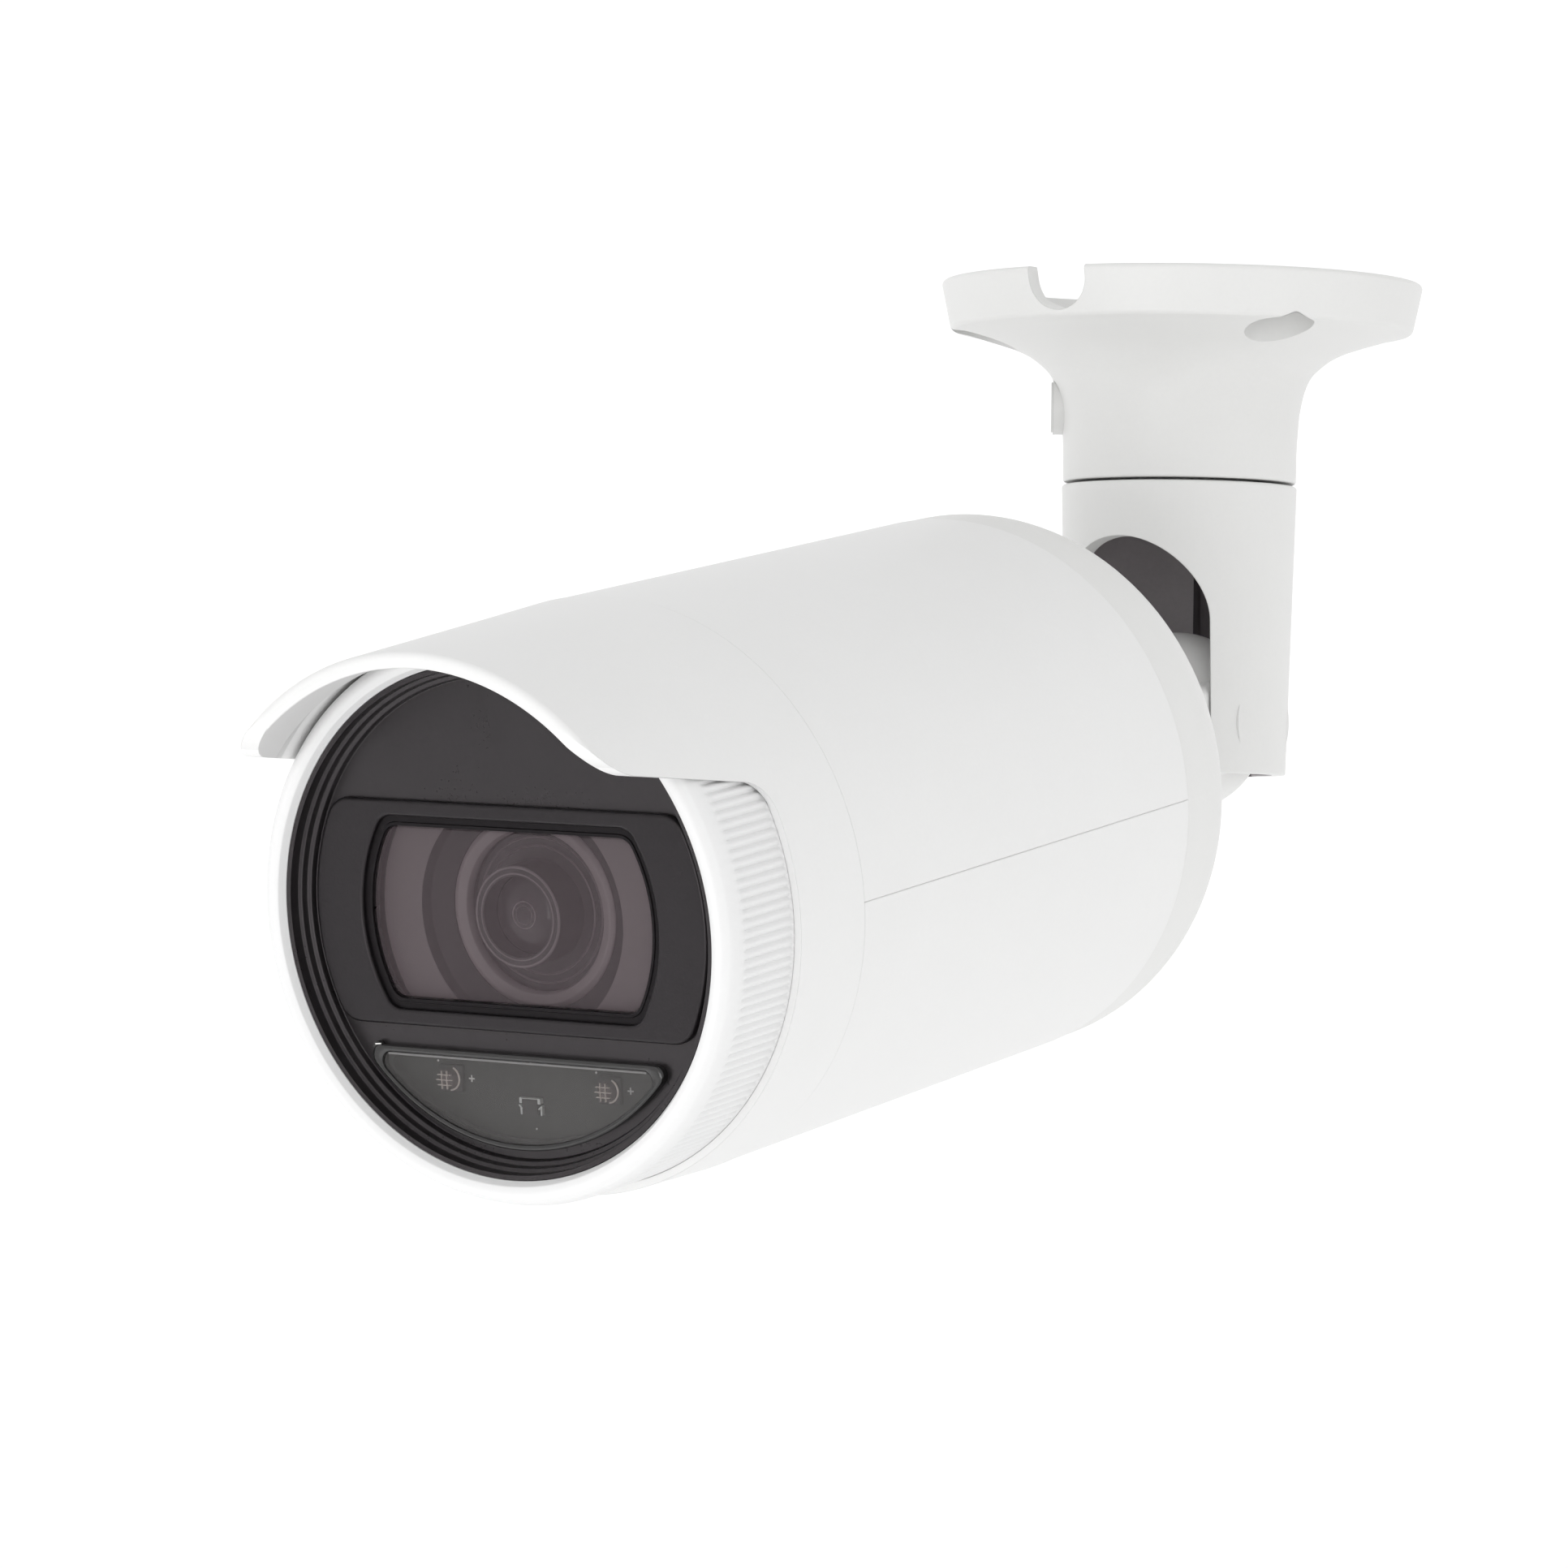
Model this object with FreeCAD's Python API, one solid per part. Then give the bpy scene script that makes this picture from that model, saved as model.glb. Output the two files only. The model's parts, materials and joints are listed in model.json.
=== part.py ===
"""Ceiling-mounted bullet security camera, in millimetres.

The origin is the centre of the mount face, +Z is up and the camera looks towards -Y.
Pieces of the camera are drawn on its own axis as (x right, y up, s forward), where s is the
distance from the tilt pivot, and are then turned into their rest position.
"""

import FreeCAD
import Part

import math
import os

# ---------------------------------------------------------------- ceiling base
base_rim_radius = 39.0
base_rim_height = 7.4
base_rim_draft = 1.5
base_depth = 32.4
base_wall = 2.8
base_cone_drop = 3.6
neck_radius = 18.85
neck_flare = 7.75
neck_shoulder = 17.0
mount_screw_circle = 32.0
mount_screw_hole_radius = 2.5
mount_screw_head_radius = 5.5
mount_screw_floor = 4.0
mount_column_wall = 2.2
mount_screw_angles = (-30.0, -150.0, 90.0)
cable_notch_width = 10.4
cable_notch_depth = 7.0
pan_lock_angle = -148.0
pan_lock_height = 20.3
pan_lock_radius = 2.0
pan_lock_boss_radius = 4.4
pan_lock_boss_reach = 20.9

# ---------------------------------------------------------------- pan bearing
pan_gap = 0.45
pan_spigot_radius = 13.5
pan_cable_radius = 8.5
pan_lock_groove = 1.2
pan_plate_thickness = 2.0
pan_plate_overlap = 2.8
pan_screw_radius = 1.25
pan_screw_head_radius = 2.2
pan_screw_length = 7.0
pan_screw_count = 3

# ---------------------------------------------------------------- arm
arm_length = 46.65
arm_top_radius = 19.0
arm_draft = 0.0269
arm_bore_radius = 15.5
arm_top_wall = 4.6
arm_channel_width = 11.4
arm_channel_depth = 1.1
arch_half_width = 13.55
pivot_below_arm_top = 38.29
arch_centre_above_pivot = 15.84
pivot_boss_radius = 8.0
pivot_pin_radius = 3.0
pivot_pin_depth = 5.2
pivot_head_radius = 5.0
pivot_head_height = 2.0
pivot_floor = 15.3
pivot_blind_floor = 16.2
pivot_hex_width = 4.0
tilt_washer_radius = 7.4
tilt_washer_thickness = 0.35

# ---------------------------------------------------------------- knuckle
knuckle_side_gap = 0.35
knuckle_radius = 14.6
knuckle_back = 9.0
tongue_half_height = 7.6
tongue_edge = 2.0
knuckle_cable_radius = 4.6
flange_radius = 16.0
flange_thickness = 7.8
flange_edge = 1.2
rotate_gap = 0.5
rotate_washer_thickness = 0.4
rotate_shaft_radius = 9.0
rotate_boss_radius = 15.0
rotate_boss_depth = 8.0
rotate_nut_radius = 13.5
rotate_nut_height = 4.0
gland_rim_radius = 6.4
gland_rim_height = 2.0
gland_bore_radius = 2.6
gland_plug_depth = 8.0

# ---------------------------------------------------------------- camera casing
rest_tilt = 10.46
rest_roll = 2.4
rear_face_s = 46.3
rear_cap_length = 20.35
body_radius = 42.6
rear_cap_step = 0.9
rear_cap_round = 14.0
rear_cap_wall = 3.5
shell_length = 91.0
shell_taper = 0.7
shell_wall = 3.0
shell_seam = 0.16
seam_lip_height = 4.0
seam_lip_thickness = 1.1
casing_gap = 0.15
spigot_length = 4.0
spigot_thickness = 2.4
seal_section = 1.2
casing_screw_radius = 1.5
casing_screw_head_radius = 2.8
casing_screw_head_height = 1.6
casing_screw_length = 8.5

# ---------------------------------------------------------------- sunshield and front ring
collar_length = 15.6
collar_step = 0.1
collar_taper = 0.5
visor_taper = 1.4
visor_length = 31.7
visor_lip_wall = 2.4
visor_edge_height = 25.4
visor_edge_slope = 0.19
visor_edge_round = 5.0
visor_corner_round = 7.5
sunshield_screw_angles = (-77.0, -103.0)
ring_step = 1.6
ring_length = 18.0
ring_tuck = 1.5
ring_lip_width = 3.85
ring_lip_depth = 3.8
ring_lip_drop = 1.7
ring_crest_inset = 1.8
housing_wall = 2.8
running_gap = 0.25

# ---------------------------------------------------------------- face
plate_recess = 4.2
plate_thickness = 1.2
plate_rim_wall = 0.8
plate_flange_height = 1.8
bezel_margin = 3.05
bezel_half_height = 16.4
bezel_corner = 4.0
bezel_rise = 1.0
frame_width = 8.3
frame_height_margin = 2.3
frame_corner = 3.0
frame_ledge = 1.5
frame_ledge_height = 1.65
glass_corner = 2.5
glass_thickness = 1.0
led_window_margin = 3.75
led_window_chord = 19.5
led_window_corner = 1.5
led_window_rise = 1.4
led_window_thickness = 1.2
led_board_drop = 4.2
fit_gap = 0.12
thread_gap = 0.02

# ---------------------------------------------------------------- lens
lens_window_gap = 0.3
lens_nose_radius = 7.4
lens_nose_bore = 5.9
lens_nose_length = 5.9
lens_barrel_radius = 14.0
lens_barrel_wall = 1.6
lens_barrel_length = 27.0
lens_cell_length = 3.0
lens_slot_half_height = 2.0
shroud_overlap = 2.3
shroud_ring_width = 2.3
shroud_funnel_width = 3.3
shroud_wall = 1.7
shroud_floor = 1.0
shroud_back_gap = 0.4
shroud_depth = 2.0
shroud_length = 4.6
shroud_mask_thickness = 0.8
shroud_mask_overlap = 0.6
drive_offset = 20.0
drive_screw_radius = 1.0
drive_motor_radius = 4.2
drive_motor_length = 9.0
drive_arm_thickness = 2.0
zoom_rest = 15.5
focus_rest = 5.5
lens_mount_half_width = 18.0
lens_mount_half_height = 13.0
lens_mount_length = 8.0
filter_slot_half_width = 17.0
filter_slot_half_height = 8.5
filter_slot_depth = 5.0
filter_thickness = 0.6
filter_half_height = 5.0
filter_left = 13.0
filter_right = 5.0
sensor_board_half = 17.0
solenoid_radius = 2.6
solenoid_length = 12.0
solenoid_foot_reach = 1.5
board_thickness = 1.6

# ---------------------------------------------------------------- electronics
chassis_half_width = 33.0
chassis_height = 8.0
chassis_thickness = 2.0
chassis_length = 60.0
bulkhead_thickness = 3.0
chassis_rear_gap = 8.0
main_board_height = 2.0
main_board_half_width = 32.0
power_board_height = -16.0
power_board_half_width = 29.0
board_length = 56.0
post_radius = 2.5
post_screw_radius = 1.2
post_x = 26.0
post_inset = 4.0
chip_size = 17.0
chip_height = 2.4
pad_thickness = 1.0
spreader_half_width = 16.0
spreader_length = 34.0
hatch_half_width = 9.0
hatch_length = 30.0
hatch_start = 20.0
hatch_ledge = 2.0
hatch_end_ledge = 8.0
hatch_seal_thickness = 0.8
card_half_width = 5.5
card_length = 15.0
card_thickness = 0.8
card_socket_half_width = 7.0
card_socket_length = 15.0
card_socket_height = 2.0
reset_radius = 1.8
reset_height = 4.0
led_spacing = 13.9
led_height = 24.3
led_radius = 1.65
led_package = 2.0
led_package_height = 0.7
sensor_window_height = 27.6

# ---------------------------------------------------------------- derived sizes
rear_cap_radius = body_radius - rear_cap_step
shell_front_radius = body_radius
shell_rear_radius = body_radius - shell_taper
collar_rear_radius = body_radius + collar_step
collar_front_radius = collar_rear_radius - collar_taper
visor_front_radius = collar_rear_radius - visor_taper
ring_radius = body_radius - ring_step
ring_lip_radius = ring_radius - ring_lip_width
ring_crest_radius = ring_radius - ring_crest_inset
bezel_radius = ring_lip_radius - bezel_margin
led_window_radius = ring_lip_radius - led_window_margin
frame_radius = bezel_radius - frame_width
glass_radius = frame_radius - frame_ledge
frame_half_height = bezel_half_height - frame_height_margin
glass_half_height = frame_half_height - frame_ledge_height

# ---------------------------------------------------------------- derived places
pivot_z = -(base_depth + pan_gap + pivot_below_arm_top)
rear_seam_s = rear_face_s + rear_cap_length
shell_start_s = rear_seam_s + casing_gap
shell_end_s = shell_start_s + shell_length
collar_start_s = shell_end_s + casing_gap
collar_end_s = collar_start_s + collar_length
visor_end_s = collar_end_s + visor_length
ring_start_s = collar_end_s - ring_tuck
ring_end_s = ring_start_s + ring_length
lip_s = ring_end_s - ring_lip_drop
plate_s = lip_s - plate_recess
bezel_s = plate_s + bezel_rise
glass_s = plate_s
housing_end_s = plate_s - plate_thickness - seal_section
shell_bore = min(shell_rear_radius, rear_cap_radius) - shell_wall
spigot_radius = shell_bore - casing_gap
housing_radius = min(ring_lip_radius + 1.5, spigot_radius)
housing_bore = housing_radius - housing_wall
ring_bore = housing_radius + fit_gap
plate_flange_radius = housing_radius
plate_rim_radius = ring_lip_radius - fit_gap
shroud_inner_radius = lens_barrel_radius - shroud_overlap
shroud_ring_radius = shroud_inner_radius + shroud_ring_width
shroud_outer_radius = shroud_ring_radius + shroud_funnel_width
shroud_body_radius = shroud_outer_radius + shroud_wall
lens_front_s = glass_s - glass_thickness - lens_window_gap
barrel_front_s = lens_front_s - lens_nose_length
barrel_rear_s = barrel_front_s - lens_barrel_length
mount_rear_s = barrel_rear_s - lens_mount_length
sensor_board_s = mount_rear_s - fit_gap - board_thickness
bulkhead_s = sensor_board_s - 2.0 - bulkhead_thickness
chassis_start_s = max(bulkhead_s - chassis_length, shell_start_s + chassis_rear_gap)
board_start_s = chassis_start_s + 1.5
board_end_s = min(board_start_s + board_length, bulkhead_s - 0.5)
hatch_start_s = shell_start_s + hatch_start
hatch_end_s = hatch_start_s + hatch_length
hatch_radius = (shell_rear_radius + shell_front_radius) / 2 - 0.1
hatch_ledge_height = -shell_bore + 1.4
knuckle_half_width = arch_half_width - knuckle_side_gap
flange_end_s = rear_face_s - rotate_gap
boss_end_s = rear_face_s + rotate_boss_depth
shaft_end_s = boss_end_s + rotate_nut_height + 1.0
led_board_s = plate_s + led_window_rise - led_window_thickness - led_board_drop
led_bottom = led_board_s + board_thickness

X_AXIS = FreeCAD.Vector(1, 0, 0)
Y_AXIS = FreeCAD.Vector(0, 1, 0)
Z_AXIS = FreeCAD.Vector(0, 0, 1)
ORIGIN = FreeCAD.Vector(0, 0, 0)


def point(x, y, z):
    return FreeCAD.Vector(x, y, z)


def rod(radius, low, high, x=0.0, y=0.0):
    """A solid cylinder along the third axis."""
    return Part.makeCylinder(radius, high - low, point(x, y, low))


def tube(outer, inner, low, high, x=0.0, y=0.0):
    return rod(outer, low, high, x, y).cut(rod(inner, low - 1, high + 1, x, y))


def cross_rod(radius, low, high, y=0.0, s=0.0):
    """A solid cylinder along X."""
    return Part.makeCylinder(radius, high - low, point(low, y, s), X_AXIS)


def box(x0, x1, y0, y1, z0, z1):
    return Part.makeBox(x1 - x0, y1 - y0, z1 - z0, point(x0, y0, z0))


def polar(radius, angle):
    return radius * math.cos(math.radians(angle)), radius * math.sin(math.radians(angle))


def outline(steps):
    """Edges through (r, z) steps: a pair is a straight run, and a pair of pairs is an arc or a curve."""
    edges = []
    at = point(steps[0][0], 0, steps[0][1])
    for step in steps[1:]:
        if isinstance(step[0], tuple):
            through = [at] + [point(r, 0, z) for r, z in step]
            if len(step) == 2:
                edges.append(Part.Arc(*through).toShape())
            else:
                curve = Part.BSplineCurve()
                curve.interpolate(through)
                edges.append(curve.toShape())
            at = through[-1]
        else:
            end = point(step[0], 0, step[1])
            edges.append(Part.LineSegment(at, end).toShape())
            at = end
    start = point(steps[0][0], 0, steps[0][1])
    if at.distanceToPoint(start) > 1e-7:
        edges.append(Part.LineSegment(at, start).toShape())
    return Part.Wire(edges)


def turned(steps):
    """A solid of revolution about the third axis."""
    return Part.Face(outline(steps)).revolve(ORIGIN, Z_AXIS, 360)


def flat_sided_disc(radius, half_height, corner, low, high):
    """A disc cut flat above and below, with rounded corners."""
    solid = rod(radius, low, high).common(
        box(-radius - 1, radius + 1, -half_height, half_height, low, high))
    upright = [e for e in solid.Edges if len(e.Vertexes) == 2
               and abs(e.Vertexes[0].Z - e.Vertexes[1].Z) > 0.9 * (high - low)
               and abs(abs(e.Vertexes[0].Y) - half_height) < 0.01]
    return solid.makeFillet(corner, upright)


def segment_disc(radius, chord, corner, low, high):
    """The part of a disc below a chord, with rounded corners."""
    solid = rod(radius, low, high).common(box(-radius, radius, -radius - 1, -chord, low, high))
    upright = [e for e in solid.Edges if len(e.Vertexes) == 2
               and abs(e.Vertexes[0].Z - e.Vertexes[1].Z) > 0.9 * (high - low)
               and abs(e.Vertexes[0].Y + chord) < 0.01]
    return solid.makeFillet(corner, upright)


def fused(*solids):
    whole = solids[0]
    for solid in solids[1:]:
        whole = whole.fuse(solid)
    return whole.removeSplitter()


def knuckle_frame(solid):
    """From the camera axis's own frame to the tilted knuckle."""
    placed = solid.copy()
    placed.rotate(ORIGIN, X_AXIS, 90)
    placed.rotate(ORIGIN, X_AXIS, rest_tilt)
    placed.translate(point(0, 0, pivot_z))
    return placed


def camera_frame(solid):
    """From the camera axis's own frame to the tilted and rolled camera."""
    placed = solid.copy()
    placed.rotate(ORIGIN, Z_AXIS, -rest_roll)
    return knuckle_frame(placed)


# ---------------------------------------------------------------- ceiling base
def base_outer():
    low = -base_rim_height
    flare = neck_radius + neck_flare
    rim = base_rim_radius - base_rim_draft
    cone = low - base_cone_drop
    drop = base_depth + cone
    return turned([
        (0, 0), (base_rim_radius - 0.7, 0),
        ((base_rim_radius - 0.2, -0.2), (base_rim_radius, -0.7)),
        (rim, low + 0.2),
        ((rim - 0.9, low - 0.6), (rim - 2.6, low - 0.95)),
        (flare, cone),
        ((neck_radius + 0.47 * neck_flare, cone - 0.121 * drop),
         (neck_radius + 0.21 * neck_flare, cone - 0.247 * drop),
         (neck_radius + 0.07 * neck_flare, cone - 0.444 * drop),
         (neck_radius + 0.15, cone - 0.65 * drop)),
        (neck_radius, -base_depth + 0.4),
        (neck_radius - 0.4, -base_depth),
        (0, -base_depth),
    ])


def base_cavity():
    low = -base_rim_height
    rim = base_rim_radius - base_rim_draft - base_wall
    flare = neck_radius + neck_flare - base_wall
    return turned([
        (0, 1), (base_rim_radius - base_wall, 1), (base_rim_radius - base_wall, 0),
        (rim, low + base_wall - 0.6), (flare, low - base_cone_drop + base_wall),
        (pan_spigot_radius + pan_plate_overlap + 0.9, -neck_shoulder + 3.6),
        (pan_spigot_radius + pan_plate_overlap + 0.5, -neck_shoulder),
        (0, -neck_shoulder),
    ])


def ceiling_base():
    outer = base_outer()
    solid = outer.cut(base_cavity())
    for angle in mount_screw_angles:
        x, y = polar(mount_screw_circle, angle)
        column = rod(mount_screw_head_radius + mount_column_wall, -base_rim_height - base_cone_drop, 0,
                     x, y)
        solid = solid.fuse(column.common(outer))
    for angle in mount_screw_angles:
        x, y = polar(mount_screw_circle, angle)
        solid = solid.cut(rod(mount_screw_hole_radius, -base_depth, 1, x, y))
        solid = solid.cut(rod(mount_screw_head_radius, -base_depth, -mount_screw_floor, x, y))
    boss = Part.makeCylinder(pan_lock_boss_radius, pan_lock_boss_reach - neck_radius + 2.0,
                             point(neck_radius - 2.0, 0, -pan_lock_height), X_AXIS)
    boss.rotate(ORIGIN, Z_AXIS, pan_lock_angle)
    solid = solid.fuse(boss)
    solid = solid.cut(rod(pan_spigot_radius + running_gap / 4, -base_depth - 1, -neck_shoulder + 1))
    hole = Part.makeCylinder(pan_lock_radius, base_rim_radius, point(pan_spigot_radius - 1, 0,
                                                                     -pan_lock_height), X_AXIS)
    hole.rotate(ORIGIN, Z_AXIS, pan_lock_angle)
    solid = solid.cut(hole)
    half = cable_notch_width / 2
    notch = box(-half, half, -base_rim_radius - 1, -base_rim_radius + 2.5 * base_wall,
                half - cable_notch_depth, 1)
    arch = Part.makeCylinder(half, 1 + 2.5 * base_wall,
                             point(0, -base_rim_radius - 1, half - cable_notch_depth), Y_AXIS)
    return solid.cut(notch).cut(arch).removeSplitter()


def pan_lock_screw():
    tip = pan_spigot_radius - pan_lock_groove + 0.3
    length = pan_lock_boss_reach - 0.9 - tip
    screw = Part.makeCylinder(pan_lock_radius - 0.03, length, point(tip, 0, -pan_lock_height), X_AXIS)
    socket = Part.makeCylinder(pan_lock_radius * 0.5, 1.6, point(tip + length - 1.6, 0,
                                                                 -pan_lock_height), X_AXIS)
    screw = screw.cut(socket)
    screw.rotate(ORIGIN, Z_AXIS, pan_lock_angle)
    return screw


def pan_screw_places():
    radius = (pan_spigot_radius + pan_cable_radius) / 2
    return [polar(radius, 30 + 360 / pan_screw_count * i) for i in range(pan_screw_count)]


def pan_retainer_plate():
    low = -neck_shoulder + fit_gap
    plate = tube(pan_spigot_radius + pan_plate_overlap, pan_cable_radius, low, low + pan_plate_thickness)
    for x, y in pan_screw_places():
        plate = plate.cut(rod(pan_screw_radius + 0.15, low - 1, low + pan_plate_thickness + 1, x, y))
    return plate


def pan_retainer_screws():
    top = -neck_shoulder + fit_gap + pan_plate_thickness
    screws = []
    for x, y in pan_screw_places():
        shank = rod(pan_screw_radius, top - pan_screw_length, top + 0.05, x, y)
        head = rod(pan_screw_head_radius, top + 0.02, top + 1.6, x, y)
        socket = rod(pan_screw_head_radius * 0.45, top + 0.8, top + 2, x, y)
        screws.append(shank.fuse(head).cut(socket).removeSplitter())
    return Part.makeCompound(screws)


# ---------------------------------------------------------------- arm
def arm_housing():
    top = -base_depth - pan_gap
    bottom = top - arm_length
    bottom_radius = arm_top_radius - arm_draft * arm_length
    solid = turned([
        (0, top), (arm_top_radius - 0.5, top),
        ((arm_top_radius - 0.15, top - 0.15), (arm_top_radius, top - 0.5)),
        (bottom_radius, bottom), (0, bottom),
    ])
    solid = solid.cut(rod(arm_bore_radius, bottom - 1, top - arm_top_wall))
    half = arm_channel_width / 2
    back = arm_bore_radius + arm_channel_depth
    channel = rod(back, bottom - 1, top - arm_top_wall).common(box(-half, half, 0, back, bottom - 1, top))
    solid = solid.cut(channel)
    for side in (-1, 1):
        near = side * (knuckle_half_width + tilt_washer_thickness + fit_gap)
        far = side * (arm_bore_radius + 1.0)
        solid = solid.fuse(cross_rod(pivot_boss_radius, min(near, far), max(near, far), 0, pivot_z))
    arch_z = pivot_z + arch_centre_above_pivot
    reach = arm_top_radius + 5
    arch = Part.makeCylinder(arch_half_width, reach, point(0, -reach, arch_z), Y_AXIS)
    slot = box(-arch_half_width, arch_half_width, -reach, 0, bottom - 1, arch_z)
    solid = solid.cut(arch).cut(slot)
    spigot_top = -neck_shoulder
    solid = solid.fuse(rod(pan_spigot_radius, top - 1, spigot_top))
    solid = solid.cut(rod(pan_cable_radius, top - arm_top_wall - 1, spigot_top + 1))
    groove = tube(pan_spigot_radius + 1, pan_spigot_radius - pan_lock_groove,
                  -pan_lock_height - pan_lock_radius - 0.3, -pan_lock_height + pan_lock_radius + 0.3)
    solid = solid.cut(groove)
    for x, y in pan_screw_places():
        solid = solid.cut(rod(pan_screw_radius + thread_gap, spigot_top - pan_screw_length,
                              spigot_top + 1, x, y))
    solid = solid.cut(cross_rod(pivot_pin_radius + thread_gap, -arm_top_radius - 1, 0, 0, pivot_z))
    solid = solid.cut(cross_rod(pivot_head_radius + 0.2, -arm_top_radius - 1, -pivot_floor, 0, pivot_z))
    solid = solid.cut(cross_rod(pivot_pin_radius + thread_gap, 0, pivot_blind_floor, 0, pivot_z))
    return solid.removeSplitter()


def tilt_bolt():
    inner = -(knuckle_half_width - pivot_pin_depth)
    shank = cross_rod(pivot_pin_radius, -pivot_floor - 0.5, inner, 0, pivot_z)
    head = cross_rod(pivot_head_radius, -pivot_floor - pivot_head_height, -pivot_floor - 0.02, 0, pivot_z)
    corners = [polar(pivot_hex_width / math.sqrt(3), 60 * i + 30) for i in range(7)]
    path = Part.makePolygon([point(-pivot_floor - pivot_head_height - 1, y, pivot_z + z) for y,
                             z in corners])
    socket = Part.Face(path).extrude(point(pivot_head_height + 0.4, 0, 0))
    return shank.fuse(head).cut(socket).removeSplitter()


def tilt_pin():
    return cross_rod(pivot_pin_radius, knuckle_half_width - pivot_pin_depth, pivot_blind_floor - fit_gap,
                     0, pivot_z)


def tilt_washers():
    washers = []
    for side in (-1, 1):
        near = side * (knuckle_half_width + fit_gap / 2)
        far = near + side * tilt_washer_thickness
        low = min(near, far)
        high = max(near, far)
        ring = cross_rod(tilt_washer_radius, low, high, 0, pivot_z)
        washers.append(ring.cut(cross_rod(pivot_pin_radius + 0.1, low - 1, high + 1, 0, pivot_z)))
    return Part.makeCompound(washers)


# ---------------------------------------------------------------- knuckle
def knuckle():
    half = knuckle_half_width
    ball = Part.makeSphere(knuckle_radius).common(box(-half, half, -20, 20, -knuckle_back, 20))
    tongue = box(-half, half, -tongue_half_height, tongue_half_height, 0, flange_end_s - 1)
    edges = [e for e in tongue.Edges if abs(e.Vertexes[0].Z - e.Vertexes[1].Z) > 1]
    tongue = tongue.makeFillet(tongue_edge, edges)
    flange = rod(flange_radius, flange_end_s - flange_thickness, flange_end_s)
    rims = [e for e in flange.Edges if len(e.Vertexes) == 1 or e.Length > 50]
    flange = flange.makeFillet(flange_edge, [e for e in rims if abs(e.CenterOfMass.z - flange_end_s) > 1
                                             and e.Length > 50 and abs(e.BoundBox.ZLength) < 0.1])
    solid = fused(ball, tongue, flange, rod(rotate_shaft_radius, flange_end_s - 1, shaft_end_s))
    solid = solid.cut(rod(knuckle_cable_radius, -knuckle_back - 1, shaft_end_s + 1))
    for side in (-1, 1):
        near = side * (half - pivot_pin_depth - 0.3)
        far = side * (half + 1)
        solid = solid.cut(cross_rod(pivot_pin_radius + 0.05, min(near, far), max(near, far)))
    return knuckle_frame(solid.removeSplitter())


def rotate_washer():
    low = flange_end_s + (rotate_gap - rotate_washer_thickness) / 2
    return knuckle_frame(tube(flange_radius - 0.8, rotate_shaft_radius + 0.1, low,
                              low + rotate_washer_thickness))


def rotate_nut():
    low = boss_end_s + 0.4
    corners = [polar(rotate_nut_radius, 60 * i) for i in range(7)]
    path = Part.makePolygon([point(x, y, low) for x, y in corners])
    nut = Part.Face(path).extrude(point(0, 0, rotate_nut_height))
    return knuckle_frame(nut.cut(rod(rotate_shaft_radius + thread_gap, low - 1,
                                     low + rotate_nut_height + 1)))


def cable_gland():
    low = shaft_end_s + 0.05
    plug = rod(knuckle_cable_radius - 0.05, shaft_end_s - gland_plug_depth, low + 0.1)
    rim = turned([(0, low), (gland_rim_radius, low), (gland_rim_radius - 1.0, low + gland_rim_height),
                  (0, low + gland_rim_height)])
    gland = plug.fuse(rim).cut(rod(gland_bore_radius, shaft_end_s - gland_plug_depth - 1,
                                   low + gland_rim_height + 1))
    return knuckle_frame(gland.removeSplitter())


# ---------------------------------------------------------------- camera casing
def rear_cap():
    flat = rear_cap_radius - rear_cap_round
    mid = rear_cap_round * (1 - math.sqrt(0.5))
    wall = rear_cap_wall
    outer = turned([
        (0, rear_face_s), (flat, rear_face_s),
        ((rear_cap_radius - mid, rear_face_s + mid), (rear_cap_radius, rear_face_s + rear_cap_round)),
        (rear_cap_radius, rear_seam_s), (0, rear_seam_s),
    ])
    inner_radius = spigot_radius - spigot_thickness
    round_in = rear_cap_round - wall
    mid_in = round_in * (1 - math.sqrt(0.5))
    cavity = turned([
        (0, rear_face_s + wall), (inner_radius - round_in, rear_face_s + wall),
        ((inner_radius - mid_in, rear_face_s + wall + mid_in), (inner_radius,
                                                                rear_face_s + wall + round_in)),
        (inner_radius, rear_seam_s + 9), (0, rear_seam_s + 9),
    ])
    solid = fused(outer, rod(spigot_radius, rear_seam_s - 1, rear_seam_s + spigot_length)).cut(cavity)
    groove_s = rear_seam_s + spigot_length / 2
    solid = solid.cut(tube(spigot_radius + 1, spigot_radius - seal_section, groove_s - 0.8, groove_s + 0.8))
    boss = rod(rotate_boss_radius, rear_face_s + 1, boss_end_s)
    solid = solid.fuse(boss)
    for x, y in cap_screw_places():
        post = rod(casing_screw_head_radius + 1.2, rear_face_s + wall - 1, rear_seam_s + spigot_length,
                   x, y)
        solid = solid.fuse(post)
    solid = solid.cut(rod(rotate_shaft_radius + 0.05, rear_face_s - 1, boss_end_s + 1))
    for x, y in cap_screw_places():
        solid = solid.cut(rod(casing_screw_radius + 0.15, rear_face_s - 1, rear_seam_s + 9, x, y))
        solid = solid.cut(rod(casing_screw_head_radius + 0.2, rear_face_s - 1, rear_face_s + 2.4, x, y))
    return camera_frame(solid.removeSplitter())


def cap_screw_places():
    radius = rear_cap_radius - rear_cap_round - casing_screw_head_radius - 1.4
    return [polar(radius, angle) for angle in (45, 135, 225, 315)]


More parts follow.
